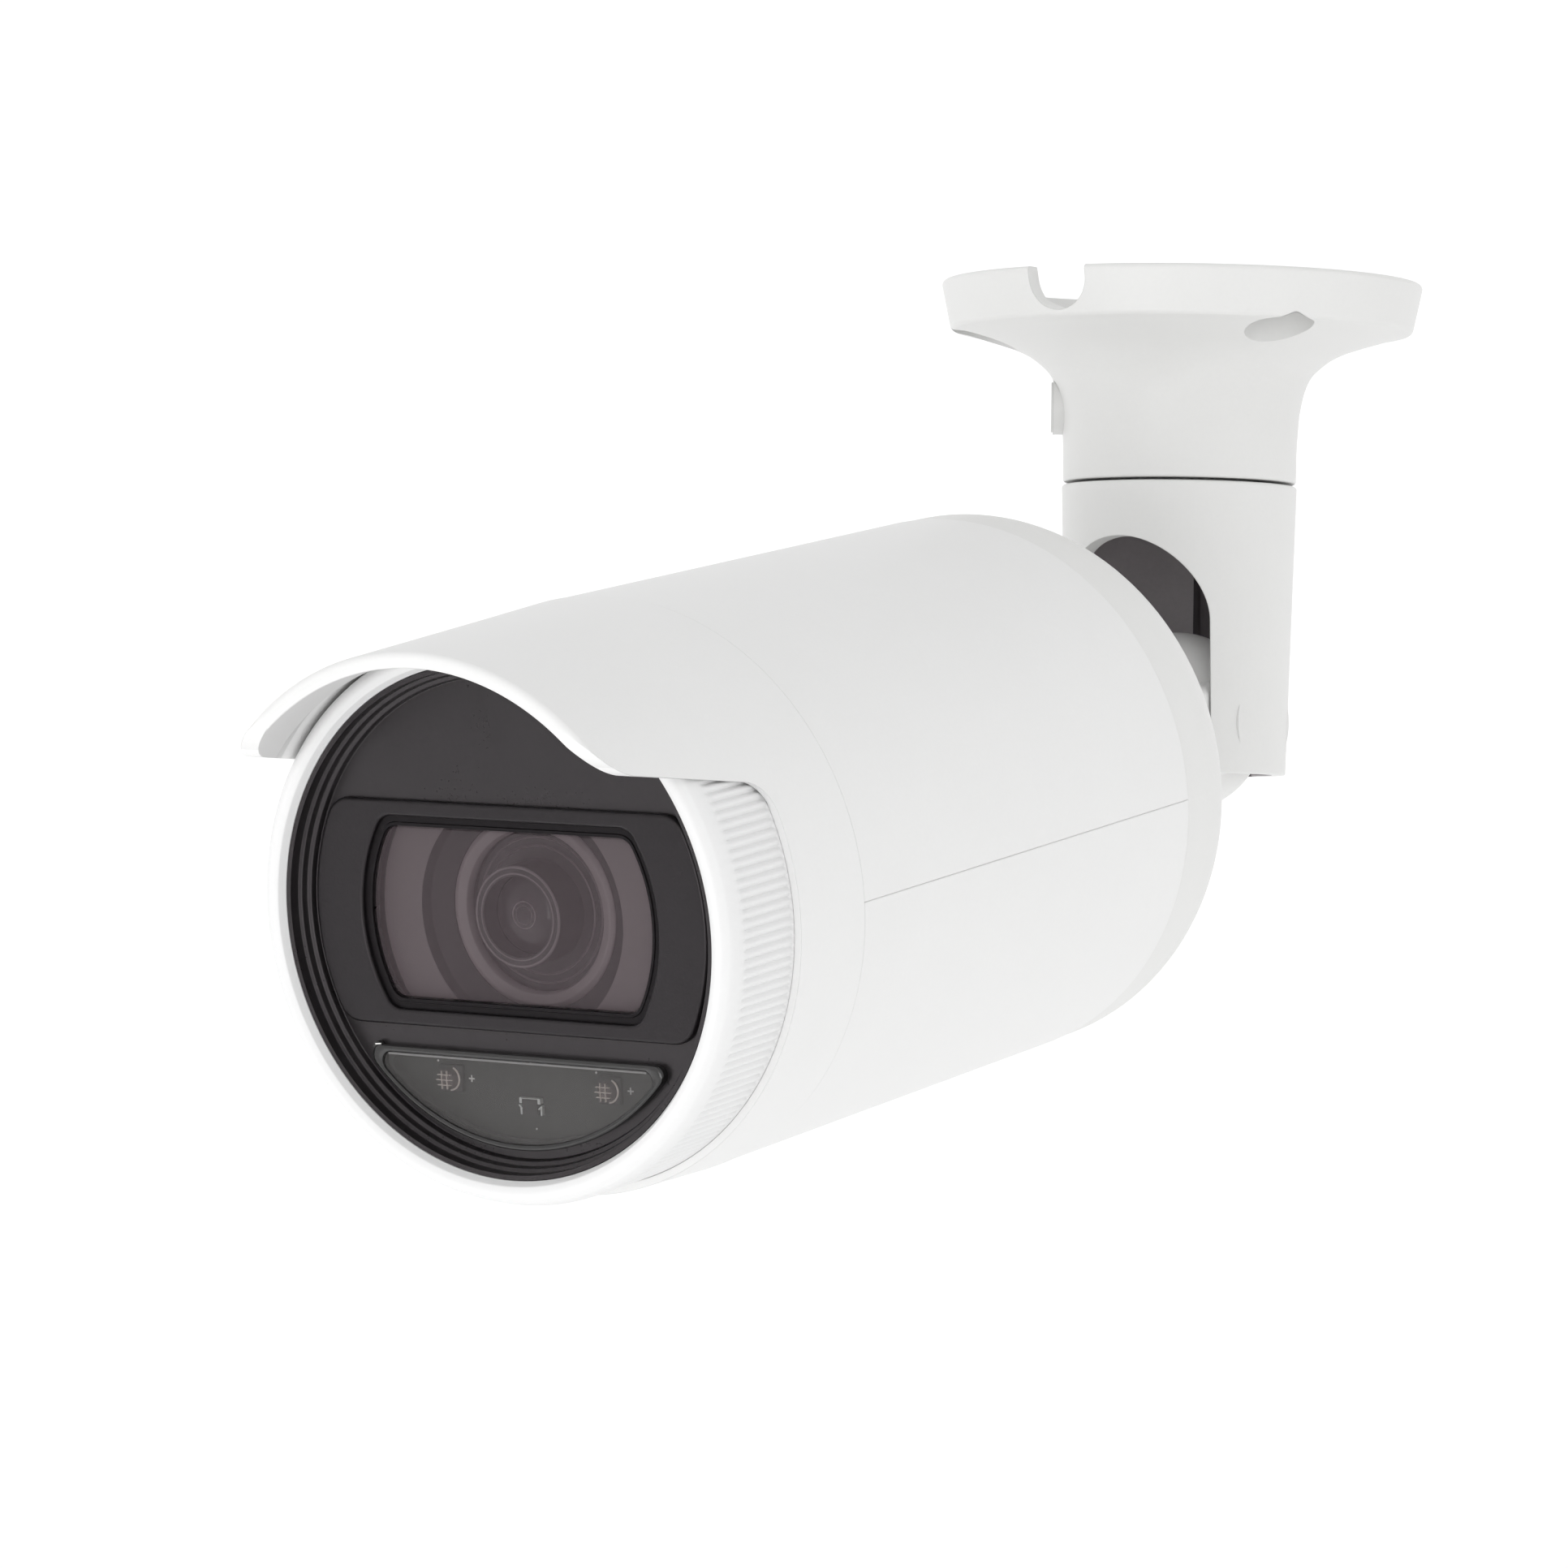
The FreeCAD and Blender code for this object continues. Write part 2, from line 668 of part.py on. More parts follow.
def rear_cap_screws():
    floor = rear_face_s + 2.4
    end = rear_seam_s + spigot_length + 3.0
    screws = []
    for x, y in cap_screw_places():
        shank = rod(casing_screw_radius, floor - 0.3, end, x, y)
        head = rod(casing_screw_head_radius, floor - casing_screw_head_height, floor - 0.02, x, y)
        socket = box(x - 1.8, x + 1.8, y - 0.35, y + 0.35, floor - 3, floor - 0.9)
        cross = box(x - 0.35, x + 0.35, y - 1.8, y + 1.8, floor - 3, floor - 0.9)
        screws.append(camera_frame(shank.fuse(head).cut(socket).cut(cross).removeSplitter()))
    return Part.makeCompound(screws)


def rear_cap_seal():
    groove_s = rear_seam_s + spigot_length / 2
    ring = tube(spigot_radius + casing_gap * 0.6, spigot_radius - seal_section + 0.05,
                groove_s - 0.7, groove_s + 0.7)
    return camera_frame(ring)


def shell_blank():
    return turned([
        (shell_bore, shell_start_s), (shell_rear_radius - 0.15, shell_start_s),
        (shell_rear_radius, shell_start_s + 0.2),
        (shell_front_radius, shell_end_s - 0.2), (shell_front_radius - 0.15, shell_end_s),
        (shell_bore, shell_end_s),
    ])


def shell_upper():
    reach = shell_front_radius + 5
    half = shell_blank().common(box(-reach, reach, shell_seam / 2, reach, shell_start_s, shell_end_s))
    for x, s in upper_screw_places():
        post = Part.makeCylinder(3.6, shell_bore, point(x, chassis_height + chassis_thickness + fit_gap,
                                                        s), Y_AXIS)
        post = post.common(rod(shell_bore + 0.5, shell_start_s, shell_end_s))
        half = half.fuse(post)
    for x, s in upper_screw_places():
        hole = Part.makeCylinder(casing_screw_radius + thread_gap, 9, point(x, chassis_height, s), Y_AXIS)
        half = half.cut(hole)
    return camera_frame(half.removeSplitter())


def upper_screw_places():
    x = chassis_half_width - 10
    return [(side * x, s) for side in (-1, 1) for s in (board_start_s + 5, board_end_s - 3)]


def lower_screw_places():
    return [(side * 7.0, s) for side in (-1, 1) for s in (shell_start_s + 14, bulkhead_s - 6)]


def shell_lower():
    reach = shell_front_radius + 5
    solid = shell_blank().common(box(-reach, reach, -reach, -shell_seam / 2, shell_start_s, shell_end_s))
    lip_start = shell_start_s + spigot_length + 1.5
    lip_end = bulkhead_s - 0.3
    lip = tube(shell_bore - casing_gap, shell_bore - seam_lip_thickness, lip_start, lip_end)
    lip = lip.common(box(-reach, reach, -seam_lip_height, seam_lip_height, shell_start_s, shell_end_s))
    root = tube(shell_bore + 0.5, shell_bore - seam_lip_thickness, lip_start, lip_end)
    root = root.common(box(-reach, reach, -seam_lip_height, -0.6, shell_start_s, shell_end_s))
    solid = solid.fuse(lip).fuse(root)
    half = hatch_half_width + hatch_ledge
    start = hatch_start_s - hatch_ledge
    end = hatch_end_s + hatch_ledge
    pad = rod(shell_bore + 0.5, start, end).common(box(-half, half, -reach, -shell_bore + 3, start, end))
    solid = solid.fuse(pad)
    solid = solid.cut(box(-hatch_half_width, hatch_half_width, -reach, hatch_ledge_height, hatch_start_s,
                          hatch_end_s))
    mouth = hatch_half_width - hatch_ledge
    solid = solid.cut(box(-mouth, mouth, -reach, 0, hatch_start_s + hatch_end_ledge,
                          hatch_end_s - hatch_end_ledge))
    for s in hatch_screw_places():
        solid = solid.cut(Part.makeCylinder(casing_screw_radius + thread_gap, 20, point(0, -reach, s),
                                            Y_AXIS))
    for x, s in lower_screw_places():
        post = Part.makeCylinder(3.8, 9.0, point(x, -shell_bore - 0.5, s), Y_AXIS)
        solid = solid.fuse(post)
    for x, s in lower_screw_places():
        hole = Part.makeCylinder(casing_screw_radius + 0.15, 20, point(x, -reach, s), Y_AXIS)
        foot = point(x, -reach - shell_bore + 0.8, s)
        seat = Part.makeCylinder(casing_screw_head_radius + 0.2, reach, foot, Y_AXIS)
        solid = solid.cut(hole).cut(seat)
    return camera_frame(solid.removeSplitter())


def hatch_body(gap, low, high):
    return box(-hatch_half_width + gap, hatch_half_width - gap, low, high, hatch_start_s + gap,
               hatch_end_s - gap)


def service_hatch():
    inner = hatch_ledge_height - hatch_seal_thickness - 0.1
    skin = rod(hatch_radius, hatch_start_s, hatch_end_s).common(hatch_body(0.2, -hatch_radius - 1, inner))
    for s in hatch_screw_places():
        skin = skin.cut(Part.makeCylinder(casing_screw_radius + 0.15, 20, point(0, -hatch_radius - 5, s),
                                          Y_AXIS))
        seat = Part.makeCylinder(casing_screw_head_radius + 0.2, 10, point(0, hatch_seat_height() - 10,
                                                                           s), Y_AXIS)
        skin = skin.cut(seat)
    return camera_frame(skin.removeSplitter())


def hatch_screw_places():
    return (hatch_start_s + hatch_end_ledge * 0.55, hatch_end_s - hatch_end_ledge * 0.55)


def hatch_seat_height():
    """Height of the seat under the two screw heads, above the bottom of the hatch."""
    return casing_screw_head_height + 0.2 - hatch_radius


def hatch_seal():
    top = hatch_ledge_height - 0.05
    frame = hatch_body(0.3, top - hatch_seal_thickness, top).cut(hatch_body(1.8, top - 2, top + 1))
    return camera_frame(frame)


def casing_screws():
    """Identical screws: four under each half shell and two in the service hatch, driven upwards."""
    seats = [(x, chassis_height, s) for x, s in upper_screw_places()]
    seats += [(x, -shell_bore + 0.8, s) for x, s in lower_screw_places()]
    seats += [(0, hatch_seat_height(), s) for s in hatch_screw_places()]
    screws = []
    for x, y, s in seats:
        head_low = y - casing_screw_head_height - 0.02
        shank = Part.makeCylinder(casing_screw_radius, casing_screw_length, point(x, y - 0.2, s), Y_AXIS)
        head = Part.makeCylinder(casing_screw_head_radius, casing_screw_head_height, point(x, head_low,
                                                                                           s), Y_AXIS)
        slot = box(x - 1.8, x + 1.8, head_low - 1, head_low + 0.8, s - 0.35, s + 0.35)
        screws.append(camera_frame(shank.fuse(head).cut(slot).removeSplitter()))
    return Part.makeCompound(screws)


# ---------------------------------------------------------------- sunshield and front ring
def sunshield():
    inner = ring_radius + running_gap
    lip = visor_front_radius - visor_lip_wall
    step = ring_end_s + 1.0
    neck = housing_radius + 0.3
    shape = turned([
        (neck, collar_start_s), (collar_rear_radius - 0.3, collar_start_s),
        (collar_rear_radius, collar_start_s + 0.3),
        (collar_front_radius, collar_end_s), (visor_front_radius, visor_end_s - 0.9),
        ((visor_front_radius - 0.25, visor_end_s - 0.25), (visor_front_radius - 0.9, visor_end_s)),
        (lip + 0.7, visor_end_s),
        ((lip + 0.2, visor_end_s - 0.2), (lip, visor_end_s - 0.7)),
        (lip + 0.3, step + 5.0), (inner, step), (inner, ring_start_s - running_gap),
        (neck, ring_start_s - running_gap),
    ])
    start = collar_end_s
    edge = visor_edge_height - visor_edge_slope * visor_length
    reach = collar_rear_radius + 5
    steps = [
        point(0, -reach, collar_start_s - 1), point(0, -reach, start),
        point(0, edge, start), point(0, visor_edge_height, visor_end_s),
        point(0, reach, visor_end_s), point(0, reach, collar_start_s - 1),
    ]
    side = Part.Face(Part.makePolygon(steps + steps[:1])).extrude(point(2 * reach, 0, 0))
    side.translate(point(-reach, 0, 0))
    for y, s, radius in ((edge, start, visor_edge_round), (visor_edge_height, visor_end_s,
                                                           visor_corner_round)):
        bend = [e for e in side.Edges if abs(e.CenterOfMass.x) < 0.01 and abs(e.CenterOfMass.y - y) < 0.01
                and abs(e.CenterOfMass.z - s) < 0.01]
        side = side.makeFillet(radius, bend)
    shape = shape.common(side)
    for angle in sunshield_screw_angles:
        shape = shape.cut(radial_rod(casing_screw_radius + thread_gap, housing_radius - 1, reach, angle))
    return camera_frame(shape.removeSplitter())


def radial_rod(radius, low, high, angle):
    s = (collar_start_s + ring_start_s) / 2
    peg = Part.makeCylinder(radius, high - low, point(low, 0, s), X_AXIS)
    peg.rotate(ORIGIN, Z_AXIS, angle)
    return peg


def sunshield_screws():
    screws = []
    for angle in sunshield_screw_angles:
        screw = radial_rod(casing_screw_radius, housing_radius - 0.9, collar_front_radius - 0.5, angle)
        socket = radial_rod(casing_screw_radius * 0.5, collar_front_radius - 1.6, collar_front_radius,
                            angle)
        screws.append(camera_frame(screw.cut(socket)))
    return Part.makeCompound(screws)


def front_housing():
    rear = bulkhead_s + bulkhead_thickness + fit_gap
    solid = tube(housing_radius, housing_bore, rear, housing_end_s)
    flange = tube(spigot_radius, housing_bore, rear, shell_end_s - fit_gap)
    solid = solid.fuse(flange)
    for angle in sunshield_screw_angles:
        solid = solid.cut(radial_rod(casing_screw_radius + 0.1, housing_radius - 1, housing_radius + 9,
                                     angle))
    return camera_frame(solid.removeSplitter())


def front_ring():
    shelf = ring_end_s - ring_lip_depth
    return camera_frame(turned([
        (ring_bore, ring_start_s), (ring_radius - 0.3, ring_start_s),
        (ring_radius, ring_start_s + 0.3), (ring_radius, ring_end_s - 4.0),
        ((ring_radius - 0.55, ring_end_s - 1.6), (ring_crest_radius, ring_end_s)),
        ((ring_lip_radius + 0.6, ring_end_s - 0.65), (ring_lip_radius, lip_s)),
        (ring_lip_radius, shelf), (ring_bore, shelf),
    ]))


def front_seal():
    low = housing_end_s
    return camera_frame(tube(housing_radius - 0.2, housing_bore + 0.4, low + 0.05,
                             low + seal_section - 0.05))


# ---------------------------------------------------------------- face
def front_plate():
    back = plate_s - plate_thickness
    disc = rod(plate_flange_radius, back, plate_s)
    flange_top = min(plate_s + plate_flange_height, ring_end_s - ring_lip_depth - fit_gap)
    flange = tube(plate_flange_radius, plate_rim_radius - plate_rim_wall, back, flange_top)
    rim = tube(plate_rim_radius, plate_rim_radius - plate_rim_wall, back, lip_s - 0.1)
    solid = fused(disc, flange, rim)
    lens_hole = flat_sided_disc(glass_radius + fit_gap, glass_half_height + fit_gap, glass_corner,
                                back - 1, plate_s + 1)
    led_hole = segment_disc(led_window_radius - 1.2, led_window_chord + 1.2, led_window_corner, back - 1,
                            plate_s + 1)
    return camera_frame(solid.cut(lens_hole).cut(led_hole).removeSplitter())


def bezel_frame():
    low = plate_s + 0.03
    solid = flat_sided_disc(bezel_radius, bezel_half_height, bezel_corner, low, bezel_s)
    rim = [e for e in solid.Edges if all(abs(v.Z - bezel_s) < 0.01 for v in e.Vertexes)]
    solid = solid.makeChamfer(0.35, rim)
    groove = flat_sided_disc(frame_radius, frame_half_height, frame_corner, bezel_s - 0.7, bezel_s + 1)
    window = flat_sided_disc(glass_radius + fit_gap, glass_half_height + fit_gap, glass_corner, low - 1,
                             bezel_s + 1)
    return camera_frame(solid.cut(groove).cut(window))


def lens_window():
    return camera_frame(flat_sided_disc(glass_radius, glass_half_height, glass_corner,
                                        glass_s - glass_thickness, glass_s))


def led_window():
    top = plate_s + led_window_rise
    face = segment_disc(led_window_radius, led_window_chord, led_window_corner, plate_s + 0.03, top)
    rim = [e for e in face.Edges if all(abs(v.Z - top) < 0.01 for v in e.Vertexes)]
    face = face.makeChamfer(0.4, rim)
    hollow = segment_disc(led_window_radius - 2.6, led_window_chord + 2.6, led_window_corner,
                          plate_s - 1, top - led_window_thickness)
    return camera_frame(face.cut(hollow))


def led_board():
    solid = segment_disc(housing_bore - 0.4, led_window_chord - 0.6, 2.0, led_board_s,
                         led_board_s + board_thickness)
    return camera_frame(solid)


def led_places():
    return [(-led_spacing, -led_height), (led_spacing, -led_height)]


def ir_leds():
    low = led_bottom + 0.02
    leds = []
    for x, y in led_places():
        base = box(x - led_package, x + led_package, y - led_package, y + led_package, low,
                   low + led_package_height)
        dome = Part.makeSphere(led_radius, point(x, y, low + led_package_height - 0.1))
        dome = dome.common(rod(led_package, low + 0.2, low + 5, x, y))
        leds.append(camera_frame(base.fuse(dome).removeSplitter()))
    return Part.makeCompound(leds)


def light_sensor():
    low = led_bottom + 0.02
    y = -sensor_window_height
    return camera_frame(box(-2.0, 2.0, y - 1.35, y + 1.35, low, low + 1.0))


# ---------------------------------------------------------------- lens
def lens_barrel():
    bore = lens_barrel_radius - lens_barrel_wall
    solid = turned([
        (lens_nose_bore, lens_front_s), (lens_nose_radius - 0.3, lens_front_s),
        (lens_nose_radius, lens_front_s - 0.3),
        (lens_nose_radius, barrel_front_s), (lens_barrel_radius - 2.5, barrel_front_s),
        (lens_barrel_radius, barrel_front_s - 2.5), (lens_barrel_radius, barrel_rear_s),
        (bore, barrel_rear_s), (bore, barrel_front_s - 3.0), (lens_nose_bore, barrel_front_s - 3.0),
    ])
    slot = box(-lens_barrel_radius - 1, lens_barrel_radius + 1, -lens_slot_half_height,
               lens_slot_half_height,
               barrel_rear_s + 2.0, barrel_front_s - 4.0)
    solid = solid.cut(slot)
    for side in (-1, 1):
        low = min(side * (lens_barrel_radius - 1), side * (drive_offset + 2.6))
        high = max(side * (lens_barrel_radius - 1), side * (drive_offset + 2.6))
        ear = box(low, high, -2.6, 2.6, barrel_front_s - 3.9, barrel_front_s - 2.6)
        foot = box(low, high, -4.0, 4.0, barrel_rear_s, barrel_rear_s + 1.4)
        solid = solid.fuse(ear).fuse(foot)
    for side in (-1, 1):
        solid = solid.cut(rod(drive_screw_radius + 0.05, barrel_rear_s - 1, barrel_front_s,
                              side * drive_offset, 0))
    return camera_frame(solid.removeSplitter())


def lens_element(radius, middle, edge, bow):
    """A biconvex glass disc centred on the camera axis: two balls and a cylinder in common."""
    ball = (radius ** 2 + bow ** 2) / (2 * bow)
    tip = edge / 2 + bow
    rear = Part.makeSphere(ball, point(0, 0, middle - tip + ball))
    front = Part.makeSphere(ball, point(0, 0, middle + tip - ball))
    return rod(radius, middle - tip - 1, middle + tip + 1).common(rear).common(front)


def front_lens():
    return camera_frame(lens_element(lens_nose_bore - 0.05, lens_front_s - 3.2, 1.4, 1.0))


def lens_cell(middle, side):
    bore = lens_barrel_radius - lens_barrel_wall
    half = lens_cell_length / 2
    cell = tube(bore - 0.1, 6.5, middle - half, middle + half)
    near = side * 9.0
    far = side * (drive_offset + 2.2)
    arm = box(min(near, far), max(near, far), -lens_slot_half_height + 0.2, lens_slot_half_height - 0.2,
              middle - drive_arm_thickness / 2, middle + drive_arm_thickness / 2)
    cell = cell.fuse(arm)
    return cell.cut(rod(drive_screw_radius + 0.05, middle - 5, middle + 5, side * drive_offset,
                        0)).removeSplitter()


def zoom_cell():
    return camera_frame(lens_cell(barrel_rear_s + zoom_rest, 1))


def zoom_lens():
    return camera_frame(lens_element(6.45, barrel_rear_s + zoom_rest, 1.2, 0.7))


def focus_cell():
    return camera_frame(lens_cell(barrel_rear_s + focus_rest, -1))


def focus_lens():
    return camera_frame(lens_element(6.45, barrel_rear_s + focus_rest, 1.2, 0.7))


def drive_motor(side):
    """A small stepper motor beside the lens barrel, behind its lead screw."""
    low = barrel_rear_s - drive_motor_length - 0.1
    body = rod(drive_motor_radius, low, barrel_rear_s - 0.1, side * drive_offset, 0)
    lug = box(side * drive_offset - 1.5, side * drive_offset + 1.5, drive_motor_radius - 1,
              drive_motor_radius + 1.4,
              low, low + 4)
    hole = rod(drive_screw_radius + 0.05, low + 4, barrel_rear_s + 1, side * drive_offset, 0)
    return camera_frame(body.fuse(lug).cut(hole).removeSplitter())


def drive_screw(side):
    low = barrel_rear_s - drive_motor_length + 4.5
    return camera_frame(rod(drive_screw_radius, low, barrel_front_s - 2.8, side * drive_offset, 0))


def lens_shroud():
    """A funnel round the lens, with a mask that closes the space behind the window."""
    back = barrel_front_s + shroud_back_gap
    front = back + shroud_length
    floor = back + shroud_floor
    mask_s = front - shroud_mask_thickness
    ring = turned([
        (shroud_inner_radius, back), (shroud_body_radius, back), (shroud_body_radius, front - 0.1),
        (shroud_outer_radius + 0.8, front - 0.1), (shroud_outer_radius, floor + shroud_depth),
        (shroud_ring_radius, floor), (shroud_inner_radius, floor),
    ])
    keep = box(-shroud_body_radius - 1, shroud_body_radius + 1, -led_window_chord + 1.4,
               shroud_body_radius + 1, back - 1, front + 1)
    mask = flat_sided_disc(glass_radius, glass_half_height + shroud_mask_overlap, glass_corner,
                           mask_s, front)
    mask = mask.cut(rod(shroud_body_radius - 0.5, mask_s - 1, front + 1))
    return camera_frame(ring.common(keep).fuse(mask).removeSplitter())


def lens_mount():
    low = mount_rear_s
    solid = box(-lens_mount_half_width, lens_mount_half_width, -lens_mount_half_height,
                lens_mount_half_height,
                low, barrel_rear_s - 0.1)
    slot_low = barrel_rear_s - 0.1 - filter_slot_depth
    solid = solid.cut(box(-filter_slot_half_width, filter_slot_half_width, -filter_slot_half_height,
                          filter_slot_half_height, slot_low, barrel_rear_s + 1))
    solid = solid.cut(rod(6.0, low - 1, barrel_rear_s + 1))
    solid = solid.cut(box(-5.6, 5.6, -4.8, 4.8, low - 1, low + 1.8))
    for side in (-1, 1):
        gap = rod(drive_motor_radius + 0.3, low - 1, barrel_rear_s + 1, side * drive_offset, 0)
        solid = solid.cut(gap)
        solid = solid.cut(box(side * drive_offset - 1.8, side * drive_offset + 1.8, 0,
                              drive_motor_radius + 1.7,
                              low - 1, barrel_rear_s + 1))
    return camera_frame(solid.removeSplitter())


def ir_cut_frame():
    low = barrel_rear_s - 0.1 - filter_slot_depth + fit_gap
    half_x = drive_offset - drive_motor_radius - 1.2
    solid = box(-half_x, half_x, -filter_slot_half_height + 0.2, filter_slot_half_height - 0.2, low,
                low + 3.6)
    track = box(-half_x + 0.8, half_x - 0.8, -filter_half_height - 0.15, filter_half_height + 0.15,
                low + 1.2, low + 1.2 + filter_thickness + 0.3)
    return camera_frame(solid.cut(track).cut(rod(4.6, low - 1, low + 5)).removeSplitter())


def ir_cut_filter():
    low = barrel_rear_s - 0.1 - filter_slot_depth + fit_gap + 1.35
    left = min(filter_left, drive_offset - drive_motor_radius - 2.2)
    return camera_frame(box(-left, filter_right, -filter_half_height, filter_half_height, low,
                            low + filter_thickness))


def ir_cut_solenoid():
    coil = Part.makeCylinder(solenoid_radius, solenoid_length,
                             point(-solenoid_length / 2, lens_mount_half_height + solenoid_radius + 0.6,
                                   barrel_rear_s - 4), X_AXIS)
    half = solenoid_length / 2 + solenoid_foot_reach
    foot = box(-half, half, lens_mount_half_height + fit_gap, lens_mount_half_height + 1.0,
               barrel_rear_s - 7, barrel_rear_s - 1)
    return camera_frame(coil.fuse(foot).removeSplitter())


def sensor_board():
    half = sensor_board_half
    board = box(-half, half, -half, half, sensor_board_s, sensor_board_s + board_thickness)
    for side in (-1, 1):
        board = board.cut(rod(drive_motor_radius + 0.6, sensor_board_s - 1, mount_rear_s,
                              side * drive_offset, 0))
    return camera_frame(board)


def image_sensor():
    low = sensor_board_s + board_thickness + 0.02
    package = box(-5.4, 5.4, -4.6, 4.6, low, low + 1.5)
    window = box(-4.2, 4.2, -3.2, 3.2, low + 1.2, low + 2)
    return camera_frame(package.cut(window))


# ---------------------------------------------------------------- electronics
def inner_chassis():
    half = chassis_half_width
    plate = box(-half, half, chassis_height, chassis_height + chassis_thickness, chassis_start_s,
                bulkhead_s + 1)
    bulkhead = rod(spigot_radius - 0.2, bulkhead_s, bulkhead_s + bulkhead_thickness)
    solid = plate.fuse(bulkhead)
    opening = box(-14, 14, -20, -12, bulkhead_s - 1, bulkhead_s + 9)
    solid = solid.cut(opening)
    for x, s in upper_screw_places():
        solid = solid.cut(Part.makeCylinder(casing_screw_radius + 0.15, 20, point(x, 0, s), Y_AXIS))
    for x, s in post_places():
        solid = solid.cut(Part.makeCylinder(post_screw_radius + 0.15, 20, point(x, 0, s), Y_AXIS))
    return camera_frame(solid.removeSplitter())


def post_places():
    return [(side * post_x, s) for side in (-1, 1) for s in (board_start_s + post_inset + 7,
                                                             board_end_s - post_inset - 6)]


def board(height, half_width):
    solid = box(-half_width, half_width, height, height + board_thickness, board_start_s, board_end_s)
    for x, s in post_places():
        solid = solid.cut(Part.makeCylinder(post_screw_radius + 0.15, 5, point(x, height - 1, s), Y_AXIS))
    for x, s in upper_screw_places():
        reach = casing_screw_head_radius + 0.6
        solid = solid.cut(Part.makeCylinder(reach, 5, point(x, height - 1, s), Y_AXIS))
    return solid


def main_board():
    return camera_frame(board(main_board_height, main_board_half_width))


def power_board():
    return camera_frame(board(power_board_height, power_board_half_width))


def board_posts():
    """Four upper and four lower threaded posts, one pair at each screw place."""
    posts = []
    spans = ((main_board_height + board_thickness, chassis_height),
             (power_board_height + board_thickness, main_board_height))
    for x, s in post_places():
        for low, high in spans:
            post = Part.makeCylinder(post_radius, high - low - 0.04, point(x, low + 0.02, s), Y_AXIS)
            bore = Part.makeCylinder(post_screw_radius + 0.03, high - low + 2, point(x, low - 1, s), Y_AXIS)
            posts.append(camera_frame(post.cut(bore)))
    return Part.makeCompound(posts)


def board_screws():
    low = power_board_height
    high = chassis_height + chassis_thickness
    screws = []
    for x, s in post_places():
        shank = Part.makeCylinder(post_screw_radius, high - low, point(x, low - 0.2, s), Y_AXIS)
        head = Part.makeCylinder(post_screw_radius + 1.0, 1.4, point(x, low - 1.42, s), Y_AXIS)
        slot = box(x - 1.6, x + 1.6, low - 2, low - 0.9, s - 0.3, s + 0.3)
        screws.append(camera_frame(shank.fuse(head).cut(slot).removeSplitter()))
    return Part.makeCompound(screws)


def middle_s():
    return (board_start_s + board_end_s) / 2


def processor():
    low = main_board_height + board_thickness + 0.02
    half = chip_size / 2
    return camera_frame(box(-half, half, low, low + chip_height, middle_s() - half, middle_s() + half))


def heat_pad():
    low = main_board_height + board_thickness + chip_height + 0.06
    half = chip_size / 2 - 0.5
    return camera_frame(box(-half, half, low, chassis_height - 0.04, middle_s() - half, middle_s() + half))


def heat_spreader():
    low = chassis_height + chassis_thickness + 0.05
    half_length = spreader_length / 2
    centre = middle_s()
    block = box(-spreader_half_width, spreader_half_width, low, shell_bore, centre - half_length,
                centre + half_length)
    block = block.common(rod(shell_bore - pad_thickness, centre - half_length, centre + half_length))
    for i in range(4):
        x = -12 + 8 * i
        block = block.cut(box(x - 2.6, x + 2.6, low + 4, shell_bore - 8, centre - half_length - 1,
                              centre + half_length + 1))
    return camera_frame(block.removeSplitter())


def board_parts():
    """Network transformer, two capacitors, cable header, card socket and reset switch case."""
    top = power_board_height + board_thickness + 0.02
    s = board_start_s
    header = box(8, 20, top, top + 6, s + 3, s + 9).cut(box(9, 19, top + 1, top + 5, s + 1, s + 7))
    parts = [
        box(-8, 8, top, top + 7, s + 30, s + 46),
        Part.makeCylinder(4, 9, point(-15, top, s + 24), Y_AXIS),
        Part.makeCylinder(4, 9, point(-15, top, s + 38), Y_AXIS),
        header, card_socket(), reset_switch(),
    ]
    return Part.makeCompound([camera_frame(p) for p in parts])


def card_place():
    return hatch_start_s + hatch_end_ledge


def card_socket():
    top = power_board_height - 0.02
    s = card_place()
    shell = box(-card_socket_half_width, card_socket_half_width, top - card_socket_height, top, s,
                s + card_socket_length)
    slot = box(-card_half_width - 0.15, card_half_width + 0.15, top - 1.4, top - 0.4, s - 1,
               s + card_socket_length - 1)
    return shell.cut(slot)


def memory_card():
    top = power_board_height - 0.02
    s = card_place() - 2.0
    return camera_frame(box(-card_half_width, card_half_width, top - 1.3, top - 1.3 + card_thickness, s,
                            s + card_length))


def reset_switch():
    top = power_board_height - 0.02
    s = card_place() + card_socket_length + 3.5
    case = box(-3, 3, top - 2.4, top, s - 3, s + 3)
    return case.cut(Part.makeCylinder(reset_radius + 0.1, 2.4, point(0, top - 3.4, s), Y_AXIS))


def reset_button():
    top = power_board_height - 0.02
    s = card_place() + card_socket_length + 3.5
    low = top - 2.4 - reset_height
    return camera_frame(Part.makeCylinder(reset_radius, reset_height + 0.4, point(0, low, s), Y_AXIS))


